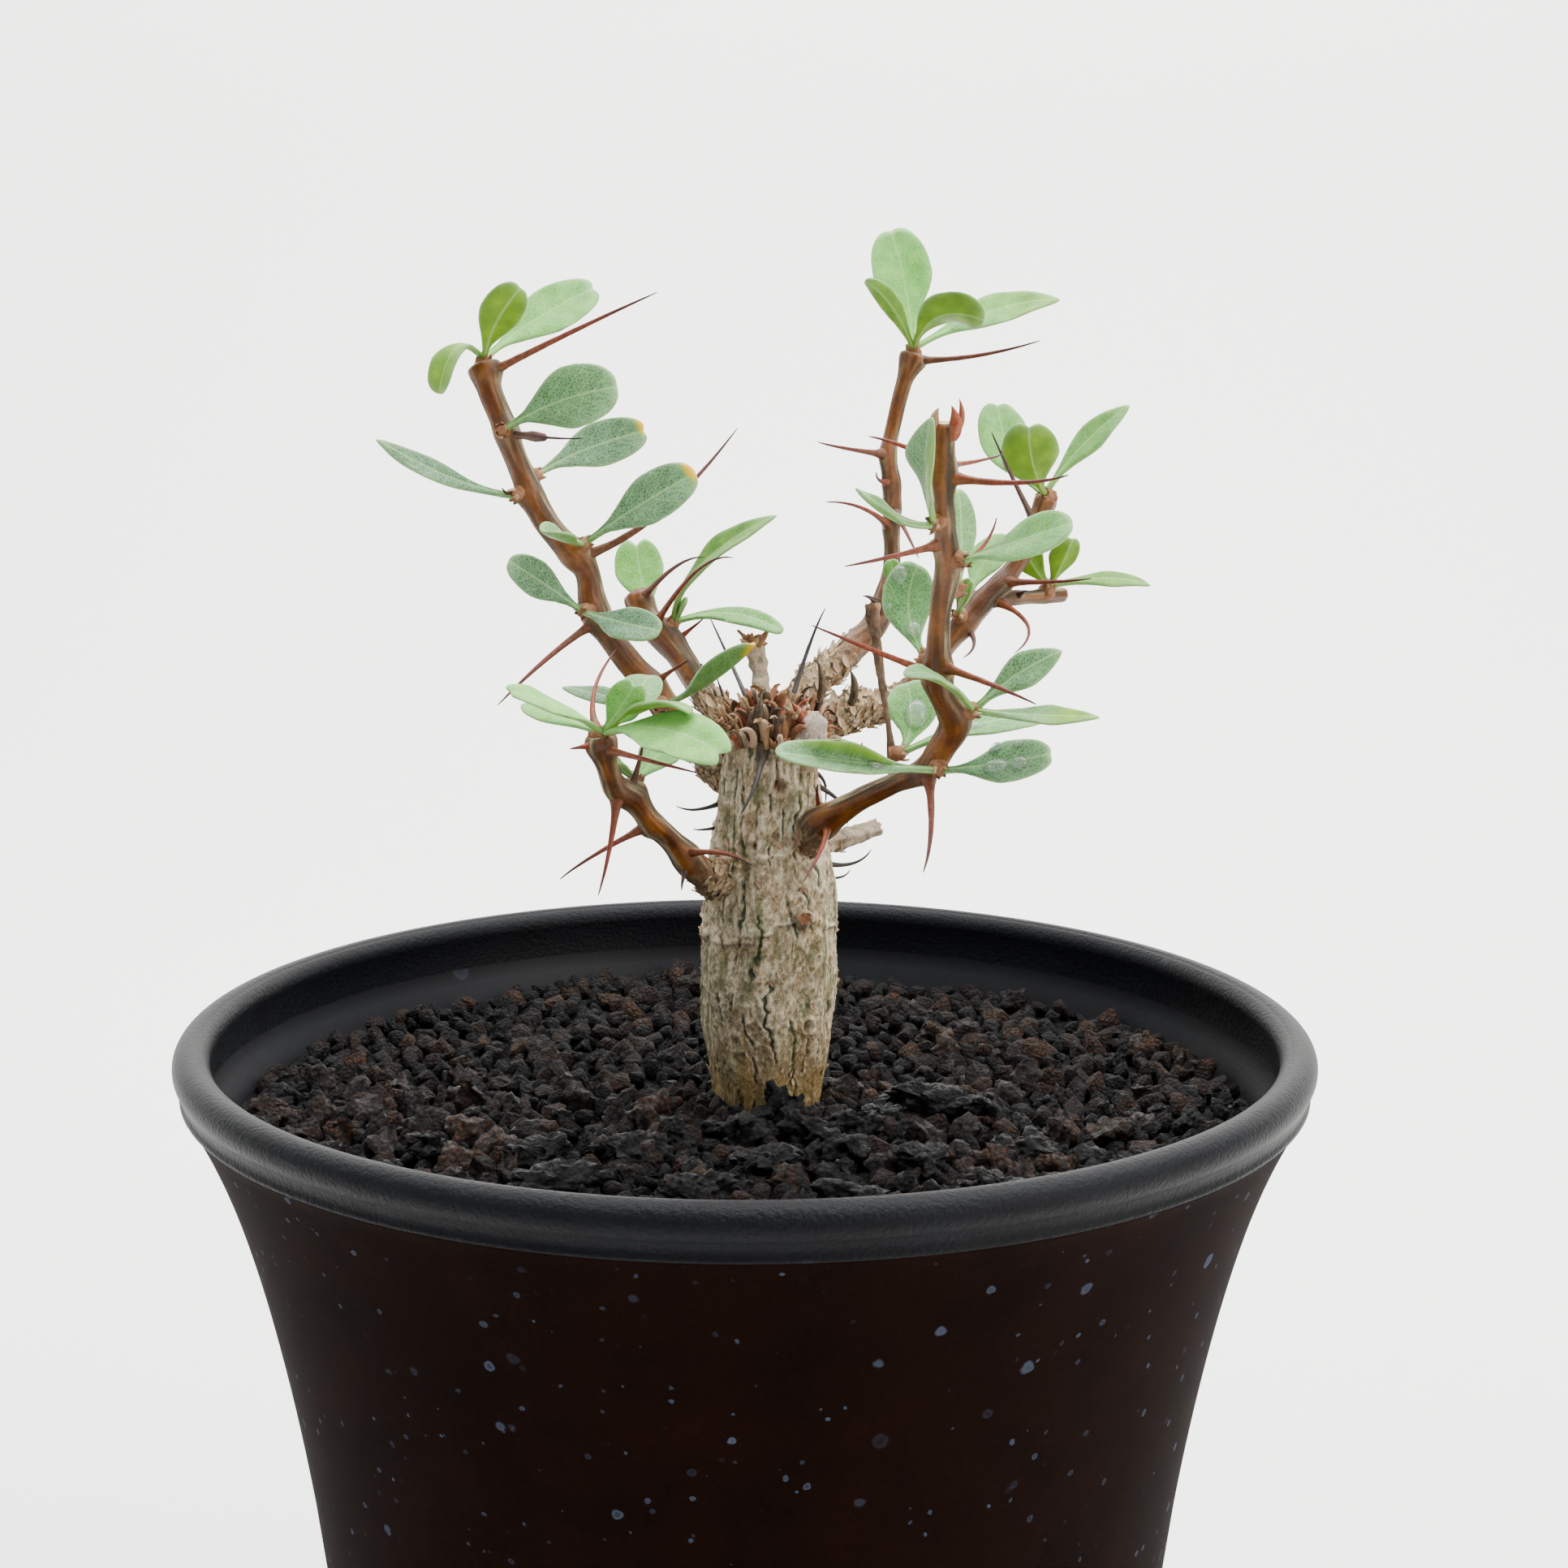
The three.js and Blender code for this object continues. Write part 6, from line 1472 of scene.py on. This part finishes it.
def waxyLeaf():
    # Leaf skin under a bloom of wax: grey green and dull when grown, mint when young, and clear
    # yellow green where light comes through. Veins are pale, in a net of about 0.4 mm.
    material, tree, shader = newMaterial("waxy leaf", {
        "Roughness": 0.5, "Specular IOR Level": 0.2, "Subsurface Weight": 0.1, "Subsurface Scale": 0.5 * mm,
        "Subsurface Radius": (0.6, 1.0, 0.25), "Sheen Weight": 0.04, "Sheen Roughness": 0.6})
    spot = addNode(tree, "ShaderNodeTexCoord")
    span = leafForm["uvSpan"]
    plain = addNode(tree, "ShaderNodeMapping", {"Location": (-span / 2, 0, 0), "Scale": (span, span, 1)},
                    {"Vector": spot.outputs["UV"]})
    split = addNode(tree, "ShaderNodeSeparateXYZ", links={"Vector": plain})
    wobble = addNode(tree, "ShaderNodeTexNoise", {"Scale": 0.5, "Detail": 2.0}, {"Vector": plain})
    across = addNode(tree, "ShaderNodeMath", {"operation": "ABSOLUTE"}, {0: split.outputs["X"]})
    young, glow, ripe, edge = (addNode(tree, "ShaderNodeAttribute", {"attribute_name": name}).outputs["Fac"]
                               for name in ("youth", "glow", "ripe", "edge"))
    shade = addNode(tree, "ShaderNodeTexNoise", {"Scale": 0.32, "Detail": 3.0}, {"Vector": plain})
    grown, mint, lit = (addNode(tree, "ShaderNodeValToRGB", {"stops": stops}, {"Fac": shade}) for stops in (
        [(0.3, "#284a2b"), (0.5, "#375f3c"), (0.72, "#4b7550")],
        [(0.3, "#4a9422"), (0.5, "#62aa34"), (0.75, "#80c050")],
        [(0.3, "#4a6e00"), (0.5, "#618800"), (0.75, "#7ea200")]))
    colour = addNode(tree, "ShaderNodeMix", overlay, {0: young, 6: grown, 7: mint}).outputs[2]
    colour = addNode(tree, "ShaderNodeMix", overlay, {0: glow, 6: colour, 7: lit}).outputs[2]
    # the net of small veins, fainter where light comes through
    matt = addNode(tree, "ShaderNodeMapRange",
                   {"From Min": 0.1, "From Max": 0.9, "To Min": 1.0, "To Max": 0.08}, {"Value": glow})
    net = addNode(tree, "ShaderNodeTexVoronoi", {"feature": "DISTANCE_TO_EDGE", "Scale": 2.7},
                  {"Vector": plain})
    mesh = addNode(tree, "ShaderNodeMapRange", {"From Max": 0.2, "To Min": 0.34, "To Max": 0.0}, {"Value": net})
    netShare = addNode(tree, "ShaderNodeMath", {"operation": "MULTIPLY"}, {0: mesh, 1: matt})
    # side veins leave the midrib at a slant, 2 mm apart
    slant = addNode(tree, "ShaderNodeMath", {"operation": "MULTIPLY_ADD", 1: -1.25},
                    {0: across, 2: split.outputs["Y"]})
    bent = addNode(tree, "ShaderNodeMath", {"operation": "MULTIPLY_ADD", 1: 1.6}, {0: wobble, 2: slant})
    wave = addNode(tree, "ShaderNodeMath", {"operation": "PINGPONG", 1: 1.15}, {0: bent})
    side = addNode(tree, "ShaderNodeMapRange",
                   {"From Min": 0.02, "From Max": 0.22, "To Min": 0.14, "To Max": 0.0}, {"Value": wave})
    sideShare = addNode(tree, "ShaderNodeMath", {"operation": "MULTIPLY"}, {0: side, 1: matt})
    rib = addNode(tree, "ShaderNodeMapRange",
                  {"From Min": 0.04, "From Max": 0.22, "To Min": 0.36, "To Max": 0.0}, {"Value": across})
    for share, cover in ((netShare, "#9cbf92"), (sideShare, "#a8cf94"), (rib, "#a9cb84"), (edge, "#8fb37c")):
        colour = addNode(tree, "ShaderNodeMix", {**overlay, 7: cover}, {0: share, 6: colour}).outputs[2]
    ripening = addNode(tree, "ShaderNodeValToRGB", {"stops": [
        (0.0, "#6d9410"), (0.5, "#c29a0c"), (1.0, "#d98c0c")]}, {"Fac": ripe})
    amount = addNode(tree, "ShaderNodeMapRange", {"From Min": 0.05, "From Max": 0.35}, {"Value": ripe})
    colour = addNode(tree, "ShaderNodeMix", overlay, {0: amount, 6: colour, 7: ripening}).outputs[2]
    height = addNode(tree, "ShaderNodeMath", {"operation": "ADD"}, {0: mesh, 1: rib})
    joinSurface(tree, shader, colour, height, 0.08, 0.35)
    return material


def leafSurface(start, leaf):
    # the leaf's middle sheet as a grid of points, with its normals, places in millimetres and length
    middle, tip, width, face, fold, notch, _, _, *more = leaf
    extra = more[0] if more else {}
    rows, columns, widest, stalk = (leafForm[name] for name in ("rows", "columns", "widest", "stalk"))
    fine = curveThrough(start, middle, tip, 80)
    length = lengthsAlong(fine)
    total = length[-1]
    facing = unit(face)
    half = width / 2
    blunt = extra.get("blunt", leafForm["blunt"])
    curl = extra.get("fold", 0)

    def ribAt(along):
        return np.array([np.interp(along, length, fine[:, axis]) for axis in range(3)])

    points = np.zeros((rows, columns, 3))
    places = np.zeros((rows, columns, 2))
    for column in range(columns):
        lane = math.sin((column / (columns - 1) * 2 - 1) * math.pi / 2)
        end = widest + (1 - widest) * (1 - abs(lane) ** blunt) ** (1 / blunt)
        end -= notch ** 2 * leafForm["notchDepth"] / total * math.exp(-(lane / 0.2) ** 2)
        for row in range(rows):
            share = row / (rows - 1) * end
            spread = smoothStep(0.1, widest, share) ** 1.15
            x = lane * (stalk + (half - stalk) * spread)
            along = min(share * total, total)
            tangent = unit(ribAt(min(along + 0.3, total)) - ribAt(max(along - 0.3, 0)))
            side = unit(np.cross(tangent, facing))
            up = np.cross(side, tangent)
            rise = (math.sqrt(x * x + 0.16) - 0.4) * math.tan(fold) * float(spread)
            rise += grain((start[0] + x * 1.1, along, start[2]), 4.2, 4.2) * 0.5 * abs(lane) * float(spread)
            # a folded leaf's near margin turns up and over
            roll = smoothStep(0.3, 1.0, lane) * smoothStep(0.2, 0.45, share) * smoothStep(0.9, 0.7, share)
            rise += roll * half * 0.7 * curl
            x -= roll * half * 0.6 * curl
            points[row, column] = ribAt(along) + side * x * math.cos(fold * 0.6) + up * rise
            places[row, column] = (x, along)
    normals = np.cross(np.gradient(points, axis=1), np.gradient(points, axis=0))
    normals /= np.maximum(np.linalg.norm(normals, axis=2), 1e-9)[:, :, None]
    if np.dot(normals[rows // 2, columns // 2], facing) < 0:
        normals = -normals
    return points, normals, places, total


def addLeaf(shape, start, leaf):
    youth, glow = leaf[6], leaf[7]
    extra = leaf[8] if len(leaf) > 8 else {}
    points, normals, places, total = leafSurface(start, leaf)
    rows, columns = points.shape[:2]
    lanes = np.sin((np.arange(columns) / (columns - 1) * 2 - 1) * math.pi / 2)[None, :]
    shares = (np.arange(rows) / (rows - 1))[:, None]
    along = places[:, :, 1] / total
    thin = 0.35 + 0.65 * (1 - np.abs(lanes) ** 8) * (1 - shares ** 14)
    rib = 0.16 * np.exp(-(places[:, :, 0] / 0.35) ** 2) * (1 - 0.8 * shares)
    grown = leafForm["thickness"] / 2 * thin
    upper = points + normals * (grown - rib * 0.5)[:, :, None]
    under = points - normals * (grown + rib * 1.2)[:, :, None]
    margin = np.clip(np.abs(lanes) ** 16 + shares ** 22, 0, 1) * 0.55
    bright = np.clip(glow + np.clip(1 - along / 0.22, 0, 1) * 0.55, 0, 1)
    folded = smoothStep(0.35, 0.9, lanes) * smoothStep(0.2, 0.4, along) * smoothStep(0.95, 0.7, along)
    # halfGlow, rimGlow and tipGlow put the yellow green of light coming through on one half, the rim or the tip
    # of a leaf: painted light
    for kind, lit in (("halfGlow", smoothStep(0.05, 0.35, lanes)), ("rimGlow", smoothStep(-0.5, -0.9, lanes)),
                      ("tipGlow", smoothStep(0.45, 0.8, along))):
        bright = np.maximum(bright, extra.get(kind, 0) * lit)
    # a folded leaf's turned margin takes the yellow green of light coming through it: painted light
    if "fold" in extra:
        bright = np.maximum(bright, folded)
    ripe = extra.get("ripe", 0) * smoothStep(extra.get("ripeFrom", 0.9), 1.0, along)
    ripe *= smoothStep(1.1, 0.1, np.abs(lanes + 0.5))
    # the under sheet takes at least part of the yellow green of light coming through the leaf: painted light
    below = np.clip(np.maximum(bright, 0.45 + 0.3 * youth), 0, 1)
    uv = (places / leafForm["uvSpan"] + [0.5, 0]).reshape(-1, 2)
    addBlade(shape, upper.reshape(-1, 3), under.reshape(-1, 3), rows, columns, uv=[*uv, *uv], youth=youth,
             glow=[*bright.ravel(), *below.ravel()], ripe=[*ripe.ravel()] * 2, edge=[*margin.ravel()] * 2)
    return upper, normals


def budPlace(lines, place):
    # the middle of a bud, just proud of its branch's bark, or of the cut at the branch's end
    line, index, _ = nearestOn(lines, place)
    centre = line["centres"][index]
    out = unit(place - centre)
    atEnd = index == len(line["centres"]) - 1
    bark = 0 if atEnd else line["radii"][index]
    return centre + out * (bark + leafForm["budRadius"] * leafForm["budRise"]), out


def addBud(shape, centre, outwards, draw):
    # a knobby short shoot with brown scales round the leaf bases
    radius = leafForm["budRadius"] * 0.72
    # how far out, and how many times the radius
    profile = [(-1.5, 1.25), (-0.6, 1.15), (0, 1), (0.55, 0.6)]
    knob = [[*(centre + outwards * far), radius * wide] for far, wide in profile]
    centres, radii, steps = throughPoints(knob, 0.2)

    def relief(ring, angle):
        level = steps[ring] * 1.6 + centre[0]
        return noise.noise(Vector((math.cos(angle) * 1.5, math.sin(angle) * 1.5, level))) * 0.3, {}

    addTube(shape, centres, radii, 18, relief, slot=1, tone=0.35)
    guide = unit(np.cross(outwards, [0.3, 0.2, 0.9]))
    other = np.cross(outwards, guide)
    for index in range(leafForm["budScales"]):
        angle = index * 1.05 + draw.random()
        side = guide * math.cos(angle) + other * math.sin(angle)
        root = centre + side * radius * 0.7 - outwards * 0.4
        bend = root + side * 0.35 + outwards * 0.6
        tip = root + side * 0.3 + outwards * draw.uniform(1.0, 1.5)
        addScale(shape, root, bend, tip, 0.8, side, draw.choice([0.2, 0.36, 0.5, 0.7]), slot=1)


def buildTufts(allLines, leafSkin, wood):
    draw = random.Random(5)
    surfaces = {}
    for node, (on, bud, leaves) in tufts.items():
        shape = Shape("youth", "glow", "ripe", "edge", "tone")
        root, out = budPlace(allLines[on], bud)
        surfaces[node] = [addLeaf(shape, root, leaf) for leaf in leaves]
        addBud(shape, root, out, draw)
        name = node.replace("leaves_", "tuft_").replace("leaf_", "tuft_")
        shape.piece(name, [leafSkin, wood], "leaf", [node])
    return surfaces


# Water drops: node, leaf, share along, lane across, half length and half width in millimetres
rainDrops = {
    "places": [
        ("leaf_front_wet", 0, 0.86, -0.55, 0.85, 0.75), ("leaf_front_wet", 0, 0.3, 0.2, 0.85, 0.7),
        ("leaf_front_wet", 0, 0.62, -0.75, 0.35, 0.35),
        ("leaves_front_low", 0, 0.52, 0.1, 1.15, 0.8), ("leaves_front_low", 0, 0.74, 0.1, 0.85, 0.75),
        ("leaves_front_low", 0, 0.6, -0.85, 0.7, 0.45), ("leaves_front_low", 0, 0.78, -0.75, 0.4, 0.35),
        ("leaves_front_root", 0, 0.55, 0.1, 1.6, 1.2), ("leaves_front_root", 1, 0.5, 0.1, 1.5, 0.6),
        ("leaves_back_tall_top", 3, 0.4, 0.3, 1.7, 0.7), ("leaves_front_low", 1, 0.4, -0.2, 0.8, 0.5),
    ],
    "rings": 9, "sides": 20, "grow": 1.25, "height": 0.68, "tuck": 1.12, "sink": 0.1,
}


def clearWater():
    # Rain water: clear drops that sit high on the wax.
    material, _, _ = newMaterial("water drops", {
        "Base Color": "#f4faf4", "Roughness": 0.03, "IOR": 1.33, "Transmission Weight": 0.9})
    return material


def waterDrops(surfaces, water):
    shape = Shape()
    rings, sides = rainDrops["rings"], rainDrops["sides"]
    for node, number, along, lane, length, width in rainDrops["places"]:
        upper, normals = surfaces[node][number]
        rows, columns = upper.shape[:2]
        row = int(round(along * (rows - 1)))
        column = int(round((math.asin(lane) / math.pi + 0.5) * (columns - 1)))
        centre, normal = upper[row, column], normals[row, column]
        forward = upper[min(row + 1, rows - 1), column] - upper[row - 1, column]
        forward = unit(forward - normal * np.dot(forward, normal))
        side = np.cross(normal, forward)
        reachAlong, reachAcross = length * rainDrops["grow"], width * rainDrops["grow"]
        tall = rainDrops["height"] * reachAcross
        points = [centre + normal * tall]
        for ring in range(1, rings):
            # a little past level, so that the foot tucks in
            slope = ring / (rings - 1) * math.pi / 2 * rainDrops["tuck"]
            for turn in around(sides):
                flat = forward * math.cos(turn) * reachAlong + side * math.sin(turn) * reachAcross
                points.append(centre + flat * math.sin(slope) + normal * tall * math.cos(slope))
        points.append(centre - normal * rainDrops["sink"])
        last = len(points) - 1
        faces = [(1 + i, 1 + (i + 1) % sides, 0) for i in range(sides)]
        faces += [tuple(1 + i for i in face) for face in gridFaces(rings - 1, sides, True)]
        faces += [(last - sides + (i + 1) % sides, last - sides + i, last) for i in range(sides)]
        shape.add(points, faces)
    shape.piece("water_drops", [water], "leaf")


def fixNormals(piece):
    mesh = bmesh.new()
    mesh.from_mesh(piece.data)
    bmesh.ops.recalc_face_normals(mesh, faces=mesh.faces[:])
    mesh.to_mesh(piece.data)
    mesh.free()


# Studio: pale sweep, soft light from above and both front sides, camera as in the photograph

studio = {
    "wallDistance": 0.95, "sweepRadius": 0.35, "halfWidth": 4.0, "frontReach": 5.0, "wallHeight": 2.0,
    "paper": "#efeeea", "air": "#dfe6ee", "airStrength": 0.5,
    # [name, place, target, size, watts, tint], in metres
    "lights": [
        ["overhead softbox", (0.45, 0.0, 1.25), (0, 0, 0.15), (1.4, 1.2), 26, "#f6f8ff"],
        ["wall wash", (0, 0.15, 1.2), (0, 0.95, 0.45), (1.8, 0.5), 62, "#ffffff"],
        ["right window", (1.1, -0.75, 0.75), (0, 0, 0.17), (0.9, 0.9), 21, "#fff8ef"],
        ["left fill", (-1.2, -0.6, 0.6), (0, 0, 0.17), (0.8, 0.8), 4, "#f4f7ff"],
    ],
    "camera": {"lens": 54.0, "sensor": 36.0, "distance": 306.3, "height": 218.66, "pitch": 0.1683,
               "centre": 917.8, "frame": 1932, "clip": 0.02},
}


def studioSweep():
    profile = [(-studio["frontReach"], 0.0)]
    turn = studio["sweepRadius"]
    for angle in np.linspace(-math.pi / 2, 0, 14):
        profile.append((studio["wallDistance"] - turn + turn * math.cos(angle), turn + turn * math.sin(angle)))
    profile.append((studio["wallDistance"], studio["wallHeight"]))
    points = [(side * studio["halfWidth"], y, z) for y, z in profile for side in (-1, 1)]
    faces = [(2 * i, 2 * i + 1, 2 * i + 3, 2 * i + 2) for i in range(len(profile) - 1)]
    mesh = bpy.data.meshes.new("studio sweep")
    mesh.from_pydata(points, [], faces)
    mesh.polygons.foreach_set("use_smooth", [True] * len(faces))
    paper, _, _ = newMaterial("matte studio paper", {
        "Base Color": studio["paper"], "Roughness": 0.9, "Specular IOR Level": 0.1})
    mesh.materials.append(paper)
    onStage(bpy.data.objects.new("studio sweep", mesh))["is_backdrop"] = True


def softBox(name, place, target, size, power, tint):
    lamp = bpy.data.lights.new(name, "AREA")
    lamp.shape = "RECTANGLE"
    lamp.size, lamp.size_y = size
    lamp.energy = power
    lamp.color = linearColour(tint)[:3]
    light = onStage(bpy.data.objects.new(name, lamp))
    light.location = place
    light.rotation_euler = (Vector(target) - Vector(place)).to_track_quat("-Z", "Y").to_euler()


def lightAndCamera():
    world = bpy.data.worlds.new("studio air")
    world.use_nodes = True
    air = world.node_tree.nodes["Background"]
    air.inputs["Color"].default_value = linearColour(studio["air"])
    air.inputs["Strength"].default_value = studio["airStrength"]
    bpy.context.scene.world = world
    for light in studio["lights"]:
        softBox(*light)
    view = studio["camera"]
    lens = bpy.data.cameras.new("camera")
    lens.lens = view["lens"]
    lens.sensor_width = view["sensor"]
    lens.clip_start = view["clip"]
    lens.shift_x = (view["frame"] / 2 - view["centre"]) / view["frame"]
    camera = onStage(bpy.data.objects.new("camera", lens))
    camera.location = (0, -view["distance"] * mm, view["height"] * mm)
    camera.rotation_euler = (math.pi / 2 - view["pitch"], 0, 0)
    bpy.context.scene.camera = camera


lightAndCamera()
studioSweep()
print("studio ready")
potShell()
print("pot turned")
gritLayers()
print("grit strewn")
deadTissue, horn = deadWood(), spineHorn()
trunkPiece = trunkStem(trunkBark(), deadTissue)
crownScales(deadTissue)
oldSpines(horn)
barkFlakes("trunk_flakes", [trunkPiece], onTrunk, trunk["flakes"], deadTissue)
print("trunk grown")
stemFinishes = [branchBark(), horn, cutWood(), deadTissue]
allLines = {name: buildBranch(name, stemFinishes) for name in branches}
stems = [bpy.data.objects[f"stem_{name}"] for name in branches]
barkFlakes("branch_flakes", stems, lambda centre, age: age > 0.5, branchForm["flakes"], deadTissue)
print("branches grown")
surfaces = buildTufts(allLines, waxyLeaf(), deadTissue)
waterDrops(surfaces, clearWater())
print("leaves grown")

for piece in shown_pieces():
    fixNormals(piece)
